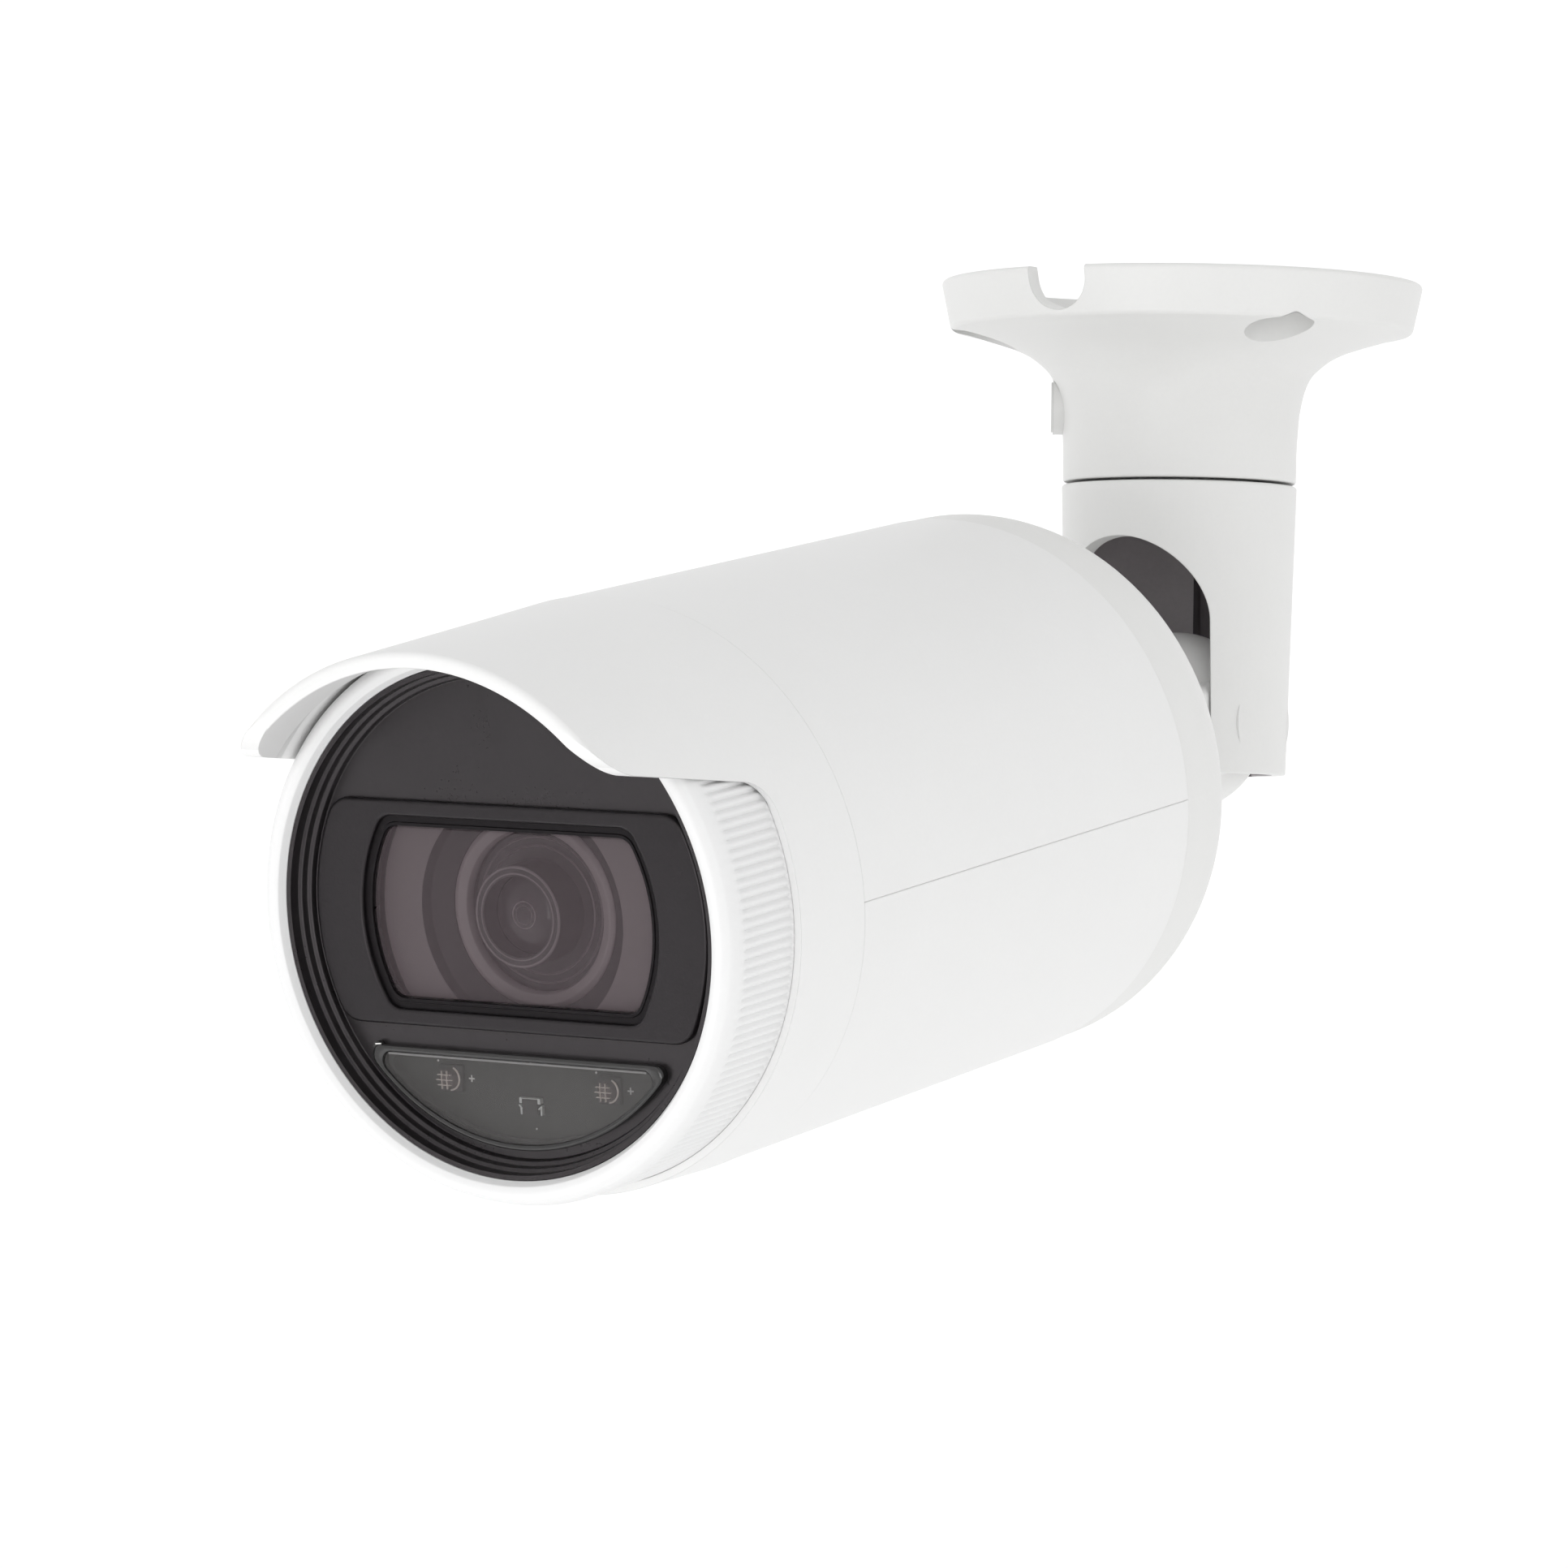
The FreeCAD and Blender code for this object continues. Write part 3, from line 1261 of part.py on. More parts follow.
NODES = {
    "ceiling_base": ceiling_base,
    "pan_lock_screw": pan_lock_screw,
    "pan_retainer_plate": pan_retainer_plate,
    "pan_retainer_screws": pan_retainer_screws,
    "arm_housing": arm_housing,
    "tilt_bolt": tilt_bolt,
    "tilt_pin": tilt_pin,
    "tilt_washers": tilt_washers,
    "knuckle": knuckle,
    "rotate_washer": rotate_washer,
    "rotate_nut": rotate_nut,
    "cable_gland": cable_gland,
    "rear_cap": rear_cap,
    "rear_cap_screws": rear_cap_screws,
    "rear_cap_seal": rear_cap_seal,
    "shell_upper": shell_upper,
    "shell_lower": shell_lower,
    "casing_screws": casing_screws,
    "service_hatch": service_hatch,
    "hatch_seal": hatch_seal,
    "sunshield": sunshield,
    "sunshield_screws": sunshield_screws,
    "front_housing": front_housing,
    "front_ring": front_ring,
    "front_seal": front_seal,
    "front_plate": front_plate,
    "bezel_frame": bezel_frame,
    "lens_window": lens_window,
    "led_window": led_window,
    "led_board": led_board,
    "ir_leds": ir_leds,
    "light_sensor": light_sensor,
    "lens_barrel": lens_barrel,
    "front_lens": front_lens,
    "zoom_cell": zoom_cell,
    "zoom_lens": zoom_lens,
    "focus_cell": focus_cell,
    "focus_lens": focus_lens,
    "zoom_motor": lambda: drive_motor(1),
    "zoom_screw": lambda: drive_screw(1),
    "focus_motor": lambda: drive_motor(-1),
    "focus_screw": lambda: drive_screw(-1),
    "lens_shroud": lens_shroud,
    "lens_mount": lens_mount,
    "ir_cut_frame": ir_cut_frame,
    "ir_cut_filter": ir_cut_filter,
    "ir_cut_solenoid": ir_cut_solenoid,
    "sensor_board": sensor_board,
    "image_sensor": image_sensor,
    "inner_chassis": inner_chassis,
    "main_board": main_board,
    "power_board": power_board,
    "board_posts": board_posts,
    "board_screws": board_screws,
    "processor": processor,
    "heat_pad": heat_pad,
    "heat_spreader": heat_spreader,
    "board_parts": board_parts,
    "memory_card": memory_card,
    "reset_button": reset_button,
}

os.makedirs("parts", exist_ok=True)
for name, make in NODES.items():
    shape = make()
    shape.exportStep(os.path.join("parts", name + ".step"))
    print(name, len(shape.Solids), shape.isValid(), round(shape.Volume, 1))
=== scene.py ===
import json
import math

import bmesh
import bpy
from mathutils import Matrix, Vector


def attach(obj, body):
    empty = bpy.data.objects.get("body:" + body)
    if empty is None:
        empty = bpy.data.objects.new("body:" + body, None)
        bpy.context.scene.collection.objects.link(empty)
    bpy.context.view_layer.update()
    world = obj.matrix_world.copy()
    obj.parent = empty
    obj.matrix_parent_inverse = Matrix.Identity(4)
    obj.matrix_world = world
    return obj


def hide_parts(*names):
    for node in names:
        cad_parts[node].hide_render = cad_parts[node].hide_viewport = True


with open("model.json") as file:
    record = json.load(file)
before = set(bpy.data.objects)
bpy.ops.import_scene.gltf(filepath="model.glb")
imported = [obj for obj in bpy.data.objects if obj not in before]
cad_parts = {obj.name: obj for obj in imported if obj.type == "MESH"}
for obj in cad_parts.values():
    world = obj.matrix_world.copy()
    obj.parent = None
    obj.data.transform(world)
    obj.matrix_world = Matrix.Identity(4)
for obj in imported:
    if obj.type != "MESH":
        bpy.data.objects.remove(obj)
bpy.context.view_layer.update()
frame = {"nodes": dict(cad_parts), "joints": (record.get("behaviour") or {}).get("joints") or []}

MM = 0.001

# ---------------------------------------------------------------- places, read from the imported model
joints = {j["name"]: j for j in frame["joints"]}
PIVOT = Vector(joints["tilt"]["pos_m"])
FORWARD = Vector(joints["rotate"]["axis"]).normalized()
UP = Vector(joints["reset_press"]["axis"]).normalized()


def frame_matrix(x, y, z, origin):
    """From millimetres on the axes x, y and z to the row frame."""
    m = Matrix((x, y, z)).transposed().to_4x4()
    return Matrix.Translation(origin) @ m @ Matrix.Scale(MM, 4)


CAM = frame_matrix(UP.cross(FORWARD), UP, FORWARD, PIVOT)
WORLD = Matrix.Scale(MM, 4)


def extent(node, matrix):
    """Lowest and highest corner of a CAD node in a local frame, and its largest radius, in mm."""
    back = matrix.inverted()
    points = [back @ v.co for v in frame["nodes"][node].data.vertices]
    low = Vector([min(p[i] for p in points) for i in range(3)])
    high = Vector([max(p[i] for p in points) for i in range(3)])
    return low, high, max(math.hypot(p.x, p.y) for p in points)


# ---------------------------------------------------------------- mesh tools
def make(name, verts, faces, sharp=35.0):
    mesh = bpy.data.meshes.new(name)
    mesh.from_pydata([tuple(v) for v in verts], [], faces)
    bm = bmesh.new()
    bm.from_mesh(mesh)
    bmesh.ops.remove_doubles(bm, verts=bm.verts, dist=1e-5)
    bmesh.ops.recalc_face_normals(bm, faces=bm.faces)
    bm.to_mesh(mesh)
    bm.free()
    obj = bpy.data.objects.new(name, mesh)
    bpy.context.scene.collection.objects.link(obj)
    shade(obj, sharp)
    return obj


def shade(obj, sharp=35.0):
    obj.data.shade_smooth()
    obj.data.set_sharp_from_angle(angle=math.radians(sharp))


def rounded(corners, steps=5):
    """A closed outline in which each corner (x, y, radius) becomes an arc."""
    path = []
    n = len(corners)
    for i, corner in enumerate(corners):
        p = Vector(corner[:2])
        r = corner[2] if len(corner) > 2 else 0.0
        a = (Vector(corners[i - 1][:2]) - p).normalized()
        b = (Vector(corners[(i + 1) % n][:2]) - p).normalized()
        half = a.angle(b) / 2
        if r <= 0 or half > math.pi / 2 - 0.01:
            path.append(tuple(p))
            continue
        reach = r / math.tan(half)
        centre = p + (a + b).normalized() * (r / math.sin(half))
        start = p + a * reach - centre
        end = p + b * reach - centre
        turn = start.angle_signed(end)
        for k in range(steps + 1):
            c = Matrix.Rotation(-turn * k / steps, 2) @ start
            path.append(tuple(centre + c))
    return path


def lathe(name, profile, seg=192, angles=None, radial=None, sharp=35.0):
    """A closed (radius, height) profile turned about the third axis, all round or through given angles."""
    whole = angles is None
    turns = angles or [2 * math.pi * i / seg for i in range(seg)]
    columns = len(turns)
    seg = columns if whole else columns - 1
    verts = []
    for a in turns:
        for r, s in profile:
            rr = r if radial is None else radial(r, s, a)
            verts.append((rr * math.cos(a), rr * math.sin(a), s))
    n = len(profile)
    faces = []
    for i in range(seg):
        j = (i + 1) % columns
        for k in range(n):
            m = (k + 1) % n
            faces.append((i * n + k, j * n + k, j * n + m, i * n + m))
    if not whole:
        faces.append(tuple(range(n)))
        faces.append(tuple(range((columns - 1) * n, columns * n)))
    return make(name, verts, faces, sharp)


def loft(name, loops, closed=False, caps=True, sharp=35.0):
    """Skin over loops of equal point count. closed joins the last loop to the first."""
    n = len(loops[0])
    verts = [p for loop in loops for p in loop]
    faces = []
    rows = len(loops) if closed else len(loops) - 1
    for i in range(rows):
        j = (i + 1) % len(loops)
        for k in range(n):
            m = (k + 1) % n
            faces.append((i * n + k, i * n + m, j * n + m, j * n + k))
    if caps and not closed:
        faces.append(tuple(range(n)))
        faces.append(tuple(range((len(loops) - 1) * n, len(loops) * n)))
    return make(name, verts, faces, sharp)


def prism(name, outline, low, high, axis="Z"):
    """An outline (a, b) drawn along an axis."""
    def at(a, b, c):
        return {"Z": (a, b, c), "X": (c, a, b), "Y": (a, c, b)}[axis]
    return loft(name, [[at(a, b, c) for a, b in outline] for c in (low, high)])


def circle(radius, n=64, x=0.0, y=0.0):
    return [(x + radius * math.cos(2 * math.pi * i / n), y + radius * math.sin(2 * math.pi * i / n))
            for i in range(n)]


def combine(obj, other, operation):
    """Boolean of obj with other, which is used up."""
    mod = obj.modifiers.new("combine", "BOOLEAN")
    mod.operation = operation
    mod.solver = "EXACT"
    mod.object = other
    bpy.context.view_layer.update()
    graph = bpy.context.evaluated_depsgraph_get()
    mesh = bpy.data.meshes.new_from_object(obj.evaluated_get(graph))
    obj.modifiers.clear()
    old = obj.data
    obj.data = mesh
    bpy.data.meshes.remove(old)
    bpy.data.objects.remove(other)
    shade(obj)
    return obj


def cut(obj, other):
    return combine(obj, other, "DIFFERENCE")


def join(name, objects):
    """One object from several."""
    bm = bmesh.new()
    materials = []
    for o in objects:
        for m in o.data.materials:
            if m not in materials:
                materials.append(m)
        index = [materials.index(m) for m in o.data.materials] or [0]
        before = len(bm.faces)
        bm.from_mesh(o.data)
        bm.faces.ensure_lookup_table()
        for f in bm.faces[before:]:
            f.material_index = index[min(f.material_index, len(index) - 1)]
    mesh = bpy.data.meshes.new(name)
    bm.to_mesh(mesh)
    bm.free()
    for m in materials:
        mesh.materials.append(m)
    for o in objects:
        bpy.data.objects.remove(o)
    obj = bpy.data.objects.new(name, mesh)
    bpy.context.scene.collection.objects.link(obj)
    shade(obj)
    return obj


def finish_piece(obj, matrix, body, material=None, nodes=()):
    """Puts a piece drawn in millimetres into the row frame, on its body."""
    obj.data.transform(matrix)
    if material is not None:
        obj.data.materials.clear()
        obj.data.materials.append(material)
    level = obj.modifiers.new("level", "WEIGHTED_NORMAL")
    level.keep_sharp = True
    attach(obj, body)
    if nodes:
        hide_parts(*nodes)
    return obj


# ---------------------------------------------------------------- materials
def shader(name, colour, rough, metal=0.0, grain=900.0, tone=0.02, rough_play=0.04, bump=0.05,
           cloud=60.0, edge=0.0, **sockets):
    """Principled surface with fine grain, a slow change of tone and uneven roughness."""
    mat = bpy.data.materials.new(name)
    mat.use_nodes = True
    tree = mat.node_tree
    nodes, links = tree.nodes, tree.links
    bsdf = nodes["Principled BSDF"]
    bsdf.inputs["Metallic"].default_value = metal
    for key, value in sockets.items():
        bsdf.inputs[key.replace("_", " ")].default_value = value
    where = nodes.new("ShaderNodeTexCoord")
    slow = nodes.new("ShaderNodeTexNoise")
    slow.inputs["Scale"].default_value = cloud
    slow.inputs["Detail"].default_value = 4.0
    fine = nodes.new("ShaderNodeTexNoise")
    fine.inputs["Scale"].default_value = grain
    fine.inputs["Detail"].default_value = 3.0
    links.new(where.outputs["Object"], slow.inputs["Vector"])
    links.new(where.outputs["Object"], fine.inputs["Vector"])
    ramp = nodes.new("ShaderNodeValToRGB")
    dark = [c * (1 - tone) for c in colour]
    light = [min(1.0, c * (1 + tone)) for c in colour]
    ramp.color_ramp.elements[0].position = 0.3
    ramp.color_ramp.elements[1].position = 0.7
    ramp.color_ramp.elements[0].color = (*dark, 1)
    ramp.color_ramp.elements[1].color = (*light, 1)
    blend = nodes.new("ShaderNodeMath")
    blend.operation = "MULTIPLY_ADD"
    blend.inputs[1].default_value = 0.5
    half = nodes.new("ShaderNodeMath")
    half.operation = "MULTIPLY"
    half.inputs[1].default_value = 0.5
    links.new(fine.outputs["Fac"], half.inputs[0])
    links.new(slow.outputs["Fac"], blend.inputs[0])
    links.new(half.outputs[0], blend.inputs[2])
    links.new(blend.outputs[0], ramp.inputs["Fac"])
    links.new(ramp.outputs["Color"], bsdf.inputs["Base Color"])
    play = nodes.new("ShaderNodeMapRange")
    play.inputs["From Min"].default_value = 0.3
    play.inputs["From Max"].default_value = 0.7
    play.inputs["To Min"].default_value = max(0.0, rough - rough_play)
    play.inputs["To Max"].default_value = min(1.0, rough + rough_play)
    links.new(blend.outputs[0], play.inputs["Value"])
    links.new(play.outputs["Result"], bsdf.inputs["Roughness"])
    relief = nodes.new("ShaderNodeBump")
    relief.inputs["Strength"].default_value = bump
    relief.inputs["Distance"].default_value = 0.0001
    links.new(fine.outputs["Fac"], relief.inputs["Height"])
    if edge > 0:
        soft = nodes.new("ShaderNodeBevel")
        soft.samples = 4
        soft.inputs["Radius"].default_value = edge * MM
        links.new(soft.outputs["Normal"], relief.inputs["Normal"])
    links.new(relief.outputs["Normal"], bsdf.inputs["Normal"])
    return mat


WHITE = (0.80, 0.80, 0.795)
paint = shader("white_paint", WHITE, 0.42, grain=1600, tone=0.012, bump=0.06, edge=0.25)
# A darker copy of the white paint: painted shade on the bracket, the rear cap and the other white CAD
# parts.
shaded_white_paint = shader("shaded_white_paint", (0.755, 0.755, 0.745), 0.42, grain=1600, tone=0.012, bump=0.06, edge=0.25)
# A lighter copy of the white paint for the inside of the sunshield: painted light.
visor_painted_light = shader("visor_painted_light", (0.90, 0.90, 0.895), 0.45, grain=1600, tone=0.01, bump=0.05)
ring_white = shader("ring_plastic", (0.80, 0.80, 0.80), 0.40, grain=1400, tone=0.012, bump=0.08)
plate_black = shader("face_plastic", (0.0155, 0.0140, 0.0148), 0.30, grain=1500, tone=0.10, bump=0.15,
                     cloud=90, Specular_IOR_Level=0.42, Specular_Tint=(1.0, 0.92, 0.96, 1.0))
bezel_black = shader("bezel_plastic", (0.0125, 0.0112, 0.0120), 0.32, grain=2200, tone=0.12, bump=0.22,
                     Specular_IOR_Level=0.30, Specular_Tint=(1.0, 0.92, 0.97, 1.0))
rim_black = shader("led_rim_gloss", (0.020, 0.019, 0.019), 0.12, grain=900, tone=0.05, bump=0.02)
# Grey for a strip under the top edge of the LED window: painted highlight.
highlight_strip_grey = shader("led_window_painted_highlight", (0.15, 0.145, 0.145), 0.25, tone=0.08, bump=0.05)
# A darker, less glossy copy of the bezel plastic for the groove round the window: painted shade.
groove_painted_shade = shader("bezel_groove_shade", (0.006, 0.0052, 0.0058), 0.45, grain=1500, tone=0.1, bump=0.1,
                      Specular_IOR_Level=0.15, Specular_Tint=(1.0, 0.92, 0.97, 1.0))
window_glass = shader("window_glass", (0.095, 0.072, 0.080), 0.05, grain=40, tone=0.03, bump=0.0,
                      rough_play=0.01, cloud=12, Alpha=0.30, Specular_IOR_Level=0.42)
smoked = shader("smoked_window", (0.105, 0.10, 0.098), 0.08, grain=40, tone=0.04, bump=0.0,
                rough_play=0.02, cloud=12, Alpha=0.30)
shroud_light = shader("shroud_light", (0.21, 0.175, 0.185), 0.55, grain=250, tone=0.03, bump=0.01)
# A near-black copy of the shroud plastic: painted shade in the funnel round the lens and under each LED
# package.
painted_shade_dark = shader("painted_shade_dark", (0.025, 0.020, 0.023), 0.6, grain=250, tone=0.03, bump=0.01)
# A lighter copy of the shroud plastic for the ridge round the lens: painted highlight.
halo_painted_highlight = shader("halo_painted_highlight", (0.34, 0.285, 0.30), 0.5, grain=250, tone=0.03, bump=0.01)
barrel_black = shader("barrel_black", (0.05, 0.041, 0.045), 0.5, grain=300, tone=0.04, bump=0.01)
# Lighter lines on the turned edges of the lens: painted highlights.
barrel_painted_highlight = shader("barrel_painted_highlight", (0.27, 0.23, 0.245), 0.4, grain=300, tone=0.04, bump=0.01)
# Lighter rings on the front glass.
glass_ring_line = shader("glass_ring_line", (0.55, 0.47, 0.50), 0.4, tone=0.04, bump=0.01)
glass_lens = shader("front_glass", (0.05, 0.04, 0.045), 0.05, tone=0.05, bump=0.0, rough_play=0.01)
resin = shader("led_resin", (0.34, 0.25, 0.25), 0.15, grain=300, tone=0.04, bump=0.0, Alpha=0.45)
# Light metal for the grid over each LED die, and for the bright crescent in each dome, which is a painted
# reflection.
grid_and_glint = shader("led_grid_and_reflection", (0.95, 0.84, 0.78), 0.35, metal=0.2, tone=0.05, bump=0.05)
mark_white = shader("board_mark", (0.92, 0.91, 0.89), 0.55, tone=0.05, bump=0.1)
solder_mask = shader("led_board_mask", (0.040, 0.039, 0.037), 0.5, grain=250, tone=0.06, bump=0.01)
led_tin = shader("solder", (0.85, 0.86, 0.85), 0.35, metal=0.3, grain=3000, tone=0.15, bump=0.4)
# Darker grey for the inside of the arm.
arm_dark = shader("arm_inside_darker", (0.44, 0.41, 0.425), 0.5, grain=1500, tone=0.06, bump=0.15)
# A darker grey still in the cable channel inside the arm: painted shade.
channel_painted_shade = shader("arm_channel_painted_shade", (0.17, 0.155, 0.162), 0.6, grain=1500, tone=0.08, bump=0.15)

library = {
    "white_paint": shaded_white_paint,
    "steel": shader("steel", (0.56, 0.57, 0.58), 0.3, metal=1.0, grain=2500, tone=0.06, bump=0.12),
    "nylon": shader("nylon", (0.62, 0.61, 0.57), 0.5, tone=0.04, bump=0.1),
    "brass": shader("brass", (0.70, 0.52, 0.24), 0.32, metal=1.0, tone=0.06, bump=0.1),
    "rubber": shader("rubber", (0.025, 0.025, 0.026), 0.72, tone=0.15, bump=0.2),
    "cast_aluminium": shader("cast_aluminium", (0.50, 0.51, 0.52), 0.46, metal=0.9, grain=1200, tone=0.1,
                             bump=0.35),
    "black_plastic": plate_black,
    "gloss_black": bezel_black,
    "window_glass": window_glass,
    "smoked_window": smoked,
    "circuit_board": shader("circuit_board", (0.015, 0.085, 0.045), 0.38, grain=500, tone=0.25, bump=0.2),
    "led_resin": resin,
    "chip": shader("chip", (0.022, 0.022, 0.024), 0.55, grain=1800, tone=0.15, bump=0.2),
    "lens_black": barrel_black,
    "optical_glass": shader("optical_glass", (0.10, 0.09, 0.13), 0.04, tone=0.03, bump=0.0, Alpha=0.45),
    "filter_glass": shader("filter_glass", (0.25, 0.08, 0.10), 0.08, tone=0.05, bump=0.0, Alpha=0.6),
    "copper": shader("copper", (0.72, 0.34, 0.18), 0.34, metal=1.0, grain=2500, tone=0.12, bump=0.4),
    "thermal_pad": shader("thermal_pad", (0.32, 0.36, 0.42), 0.7, tone=0.08, bump=0.3),
}
for node, obj in frame["nodes"].items():
    slot = obj.data.materials[0].name.split(".")[0]
    obj.data.materials.clear()
    obj.data.materials.append(library[slot])

# ---------------------------------------------------------------- stations on the camera axis
CAP_R = extent("rear_cap", CAM)[2]
shell_low, shell_high, SHELL_R = extent("shell_upper", CAM)
visor_low, visor_high, VISOR_R = extent("sunshield", CAM)
ring_low, ring_high, RING_R = extent("front_ring", CAM)
plate_low, _, PLATE_R = extent("front_plate", CAM)
bezel_low, bezel_high, BEZEL_R = extent("bezel_frame", CAM)
glass_low, glass_high, GLASS_R = extent("lens_window", CAM)
_, led_high, LED_R = extent("led_window", CAM)
board_low, board_high, BOARD_R = extent("led_board", CAM)
NOSE_S = extent("lens_barrel", CAM)[1].z
shroud_low, shroud_high, _ = extent("lens_shroud", CAM)
COLLAR_LENGTH = 15.6
RING_BORE = PLATE_R + 0.12
LIP_R = RING_R - 3.85
LIP_S = ring_high.z - 1.7
LIP_DEPTH = 3.8
PLATE_S = bezel_low.z - 0.03

# ---------------------------------------------------------------- front ring with its grip ribs
RIBS = 180
RIB_START = visor_low.z + COLLAR_LENGTH
RIB_END = ring_high.z - 3.5
RIB_DEPTH = 0.42
RIB_WALL = 1.2
RIB_WIDTH = 0.62
RIB_REAR_FADE = 0.5
RIB_FRONT_FADE = 1.5


def rib(r, s, a):
    if r < RING_R - RIB_WALL or s < RIB_START or s > RIB_END:
        return r
    phase = abs((a * RIBS / (2 * math.pi)) % 1.0 - 0.5) * 2
    valley = max(0.0, 1 - phase / RIB_WIDTH) ** 0.8
    rise = min(1.0, (s - RIB_START) / RIB_REAR_FADE, (RIB_END - s) / RIB_FRONT_FADE)
    return r - RIB_DEPTH * valley * rise


def ring_piece():
    start, end = ring_low.z, ring_high.z
    outer = [(RING_R, RIB_START + (RIB_END - RIB_START) * t) for t in
             (0, 0.015, 0.04, 0.3, 0.6, 0.84, 0.88, 0.92, 0.96)]
    crest = rounded([
        (RING_R, RIB_END, 0), (RING_R - 0.62, end - 1.5, 1.6), (RING_R - 1.8, end, 1.2),
        (LIP_R + 0.6, end - 0.65, 0.5), (LIP_R, LIP_S - 0.1, 0.2), (LIP_R, end - LIP_DEPTH, 0.1),
        (RING_BORE, end - LIP_DEPTH, 0), (RING_BORE, start, 0),
        (RING_R, start, 0.3), (RING_R, RIB_START - 0.02, 0),
    ], 8)
    tight = [(min(r, RING_R), s) for r, s in crest]
    return lathe("ring_grip", outer + tight, RIBS * 8, radial=rib, sharp=40)


finish_piece(ring_piece(), CAM, "ring", ring_white, ["front_ring"])

# ---------------------------------------------------------------- half shells
SHELL_WALL = 3.2
BORE = CAP_R - SHELL_WALL
SEAM_GAP = 0.01
SEAM_ROUND = 0.16
SCREW_X = 7
REAR_SCREW_S = shell_low.z + 14
LIP_SCREW_S = 129.23
WELL_R = 3.0
WELL_TOP = -38.9
HATCH_GAP = 0.2


def seam_angles(first, last):
    """Angles of a half shell, close together where its edges are rounded."""
    near = [SEAM_ROUND / SHELL_R * t for t in (0, 0.1, 0.25, 0.45, 0.7, 1.0, 1.6)]
    body = [first + near[-1] + (last - first - 2 * near[-1]) * k / 120 for k in range(1, 120)]
    return [first + d for d in near] + body + [last - d for d in reversed(near)]


def shell_piece(name, first, last):
    low, high = shell_low.z - 0.06, shell_high.z + 0.06
    outline = rounded([
        (BORE, low, 0), (SHELL_R - 0.7, low, 0.2), (SHELL_R, high, 0.2), (BORE, high, 0),
    ], 4)
    profile = []
    for i, (r, s) in enumerate(outline):
        profile.append((r, s))
        after = outline[(i + 1) % len(outline)]
        if abs(after[1] - s) > 20 and r > BORE + 1:
            profile += [(r + (after[0] - r) * t / 12, s + (after[1] - s) * t / 12) for t in range(1, 12)]

    def seam_edge(r, s, a):
        gap = min(a - first, last - a) * SHELL_R
        if r < BORE + 1 or gap >= SEAM_ROUND:
            return r
        return r - SEAM_ROUND + math.sqrt(max(0.0, SEAM_ROUND ** 2 - (SEAM_ROUND - gap) ** 2))

    return lathe(name, profile, angles=seam_angles(first, last), radial=seam_edge, sharp=50)


def hatch_opening():
    lo, hi, _ = extent("service_hatch", CAM)
    return prism("opening", [(lo.x - HATCH_GAP, lo.z - HATCH_GAP), (hi.x + HATCH_GAP, lo.z - HATCH_GAP),
                             (hi.x + HATCH_GAP, hi.z + HATCH_GAP), (lo.x - HATCH_GAP, hi.z + HATCH_GAP)],
                 -60, -30, "Y")


def screw_wells(half):
    """Wells for the screws in the lower shell."""
    for s in (REAR_SCREW_S, LIP_SCREW_S):
        for x in (-SCREW_X, SCREW_X):
            cut(half, prism("well", circle(WELL_R, 40, x, s), -60, WELL_TOP, "Y"))


edge = SEAM_GAP / 2 / SHELL_R
finish_piece(shell_piece("casing_top", edge, math.pi - edge), CAM, "camera", paint,
             ["shell_upper"])
casing_bottom = shell_piece("casing_bottom", math.pi + edge, 2 * math.pi - edge)
cut(casing_bottom, hatch_opening())
screw_wells(casing_bottom)
finish_piece(casing_bottom, CAM, "camera", paint, ["shell_lower"])

# ---------------------------------------------------------------- sunshield
COLLAR_START = visor_low.z
COLLAR_END = COLLAR_START + COLLAR_LENGTH
VISOR_END = visor_high.z
VISOR_FRONT_R = VISOR_R - 1.4
VISOR_LIP = 2.4
VISOR_EDGE_Y = 25.4
VISOR_EDGE_SLOPE = 0.19
VISOR_LENGTH = 31.7
VISOR_ROOT_ROUND = 5.0
VISOR_CORNER_ROUND = 7.5


def visor_piece():
    inner = RING_R + 0.25
    lip = VISOR_FRONT_R - VISOR_LIP
    outline = rounded([
        (BORE + 0.2, COLLAR_START - 0.06, 0), (VISOR_R, COLLAR_START - 0.06, 0.25),
        (VISOR_R - 0.5, COLLAR_END, 0), (VISOR_FRONT_R, VISOR_END, 1.0), (lip, VISOR_END, 0.7),
        (lip + 0.3, ring_high.z + 6.0, 1.5), (RING_R + 0.1, ring_high.z + 1.0, 1.0),
        (RING_R + 0.1, ring_high.z - 2.0, 0), (inner, ring_high.z - 3.0, 0), (inner, COLLAR_END + 0.02, 0),
        (RING_R + 0.05, COLLAR_END, 0), (RING_R + 0.05, COLLAR_END - 0.8, 0), (inner, COLLAR_END - 0.9, 0),
        (inner, ring_low.z - 0.25, 0), (BORE + 0.2, ring_low.z - 0.25, 0),
    ], 5)
    shape = lathe("visor", outline, 288, sharp=40)
    edge_y = VISOR_EDGE_Y - VISOR_EDGE_SLOPE * VISOR_LENGTH
    side = rounded([
        (-60, COLLAR_START - 2, 0), (-60, COLLAR_END, 0), (edge_y, COLLAR_END, VISOR_ROOT_ROUND),
        (VISOR_EDGE_Y, VISOR_END + 0.01, VISOR_CORNER_ROUND), (60, VISOR_END + 0.01, 0),
        (60, COLLAR_START - 2, 0),
    ], 16)
    visor = combine(shape, prism("keep", side, -60, 60, "X"), "INTERSECT")
    visor.data.materials.clear()
    visor.data.materials.append(paint)
    visor.data.materials.append(visor_painted_light)
    # Inward faces in front of the collar take the lighter paint, which is painted light.
    for face in visor.data.polygons:
        c = face.center
        inward = Vector((c.x, c.y, 0)).normalized().dot(face.normal) < -0.5
        face.material_index = int(inward and c.z > COLLAR_END)
    return visor


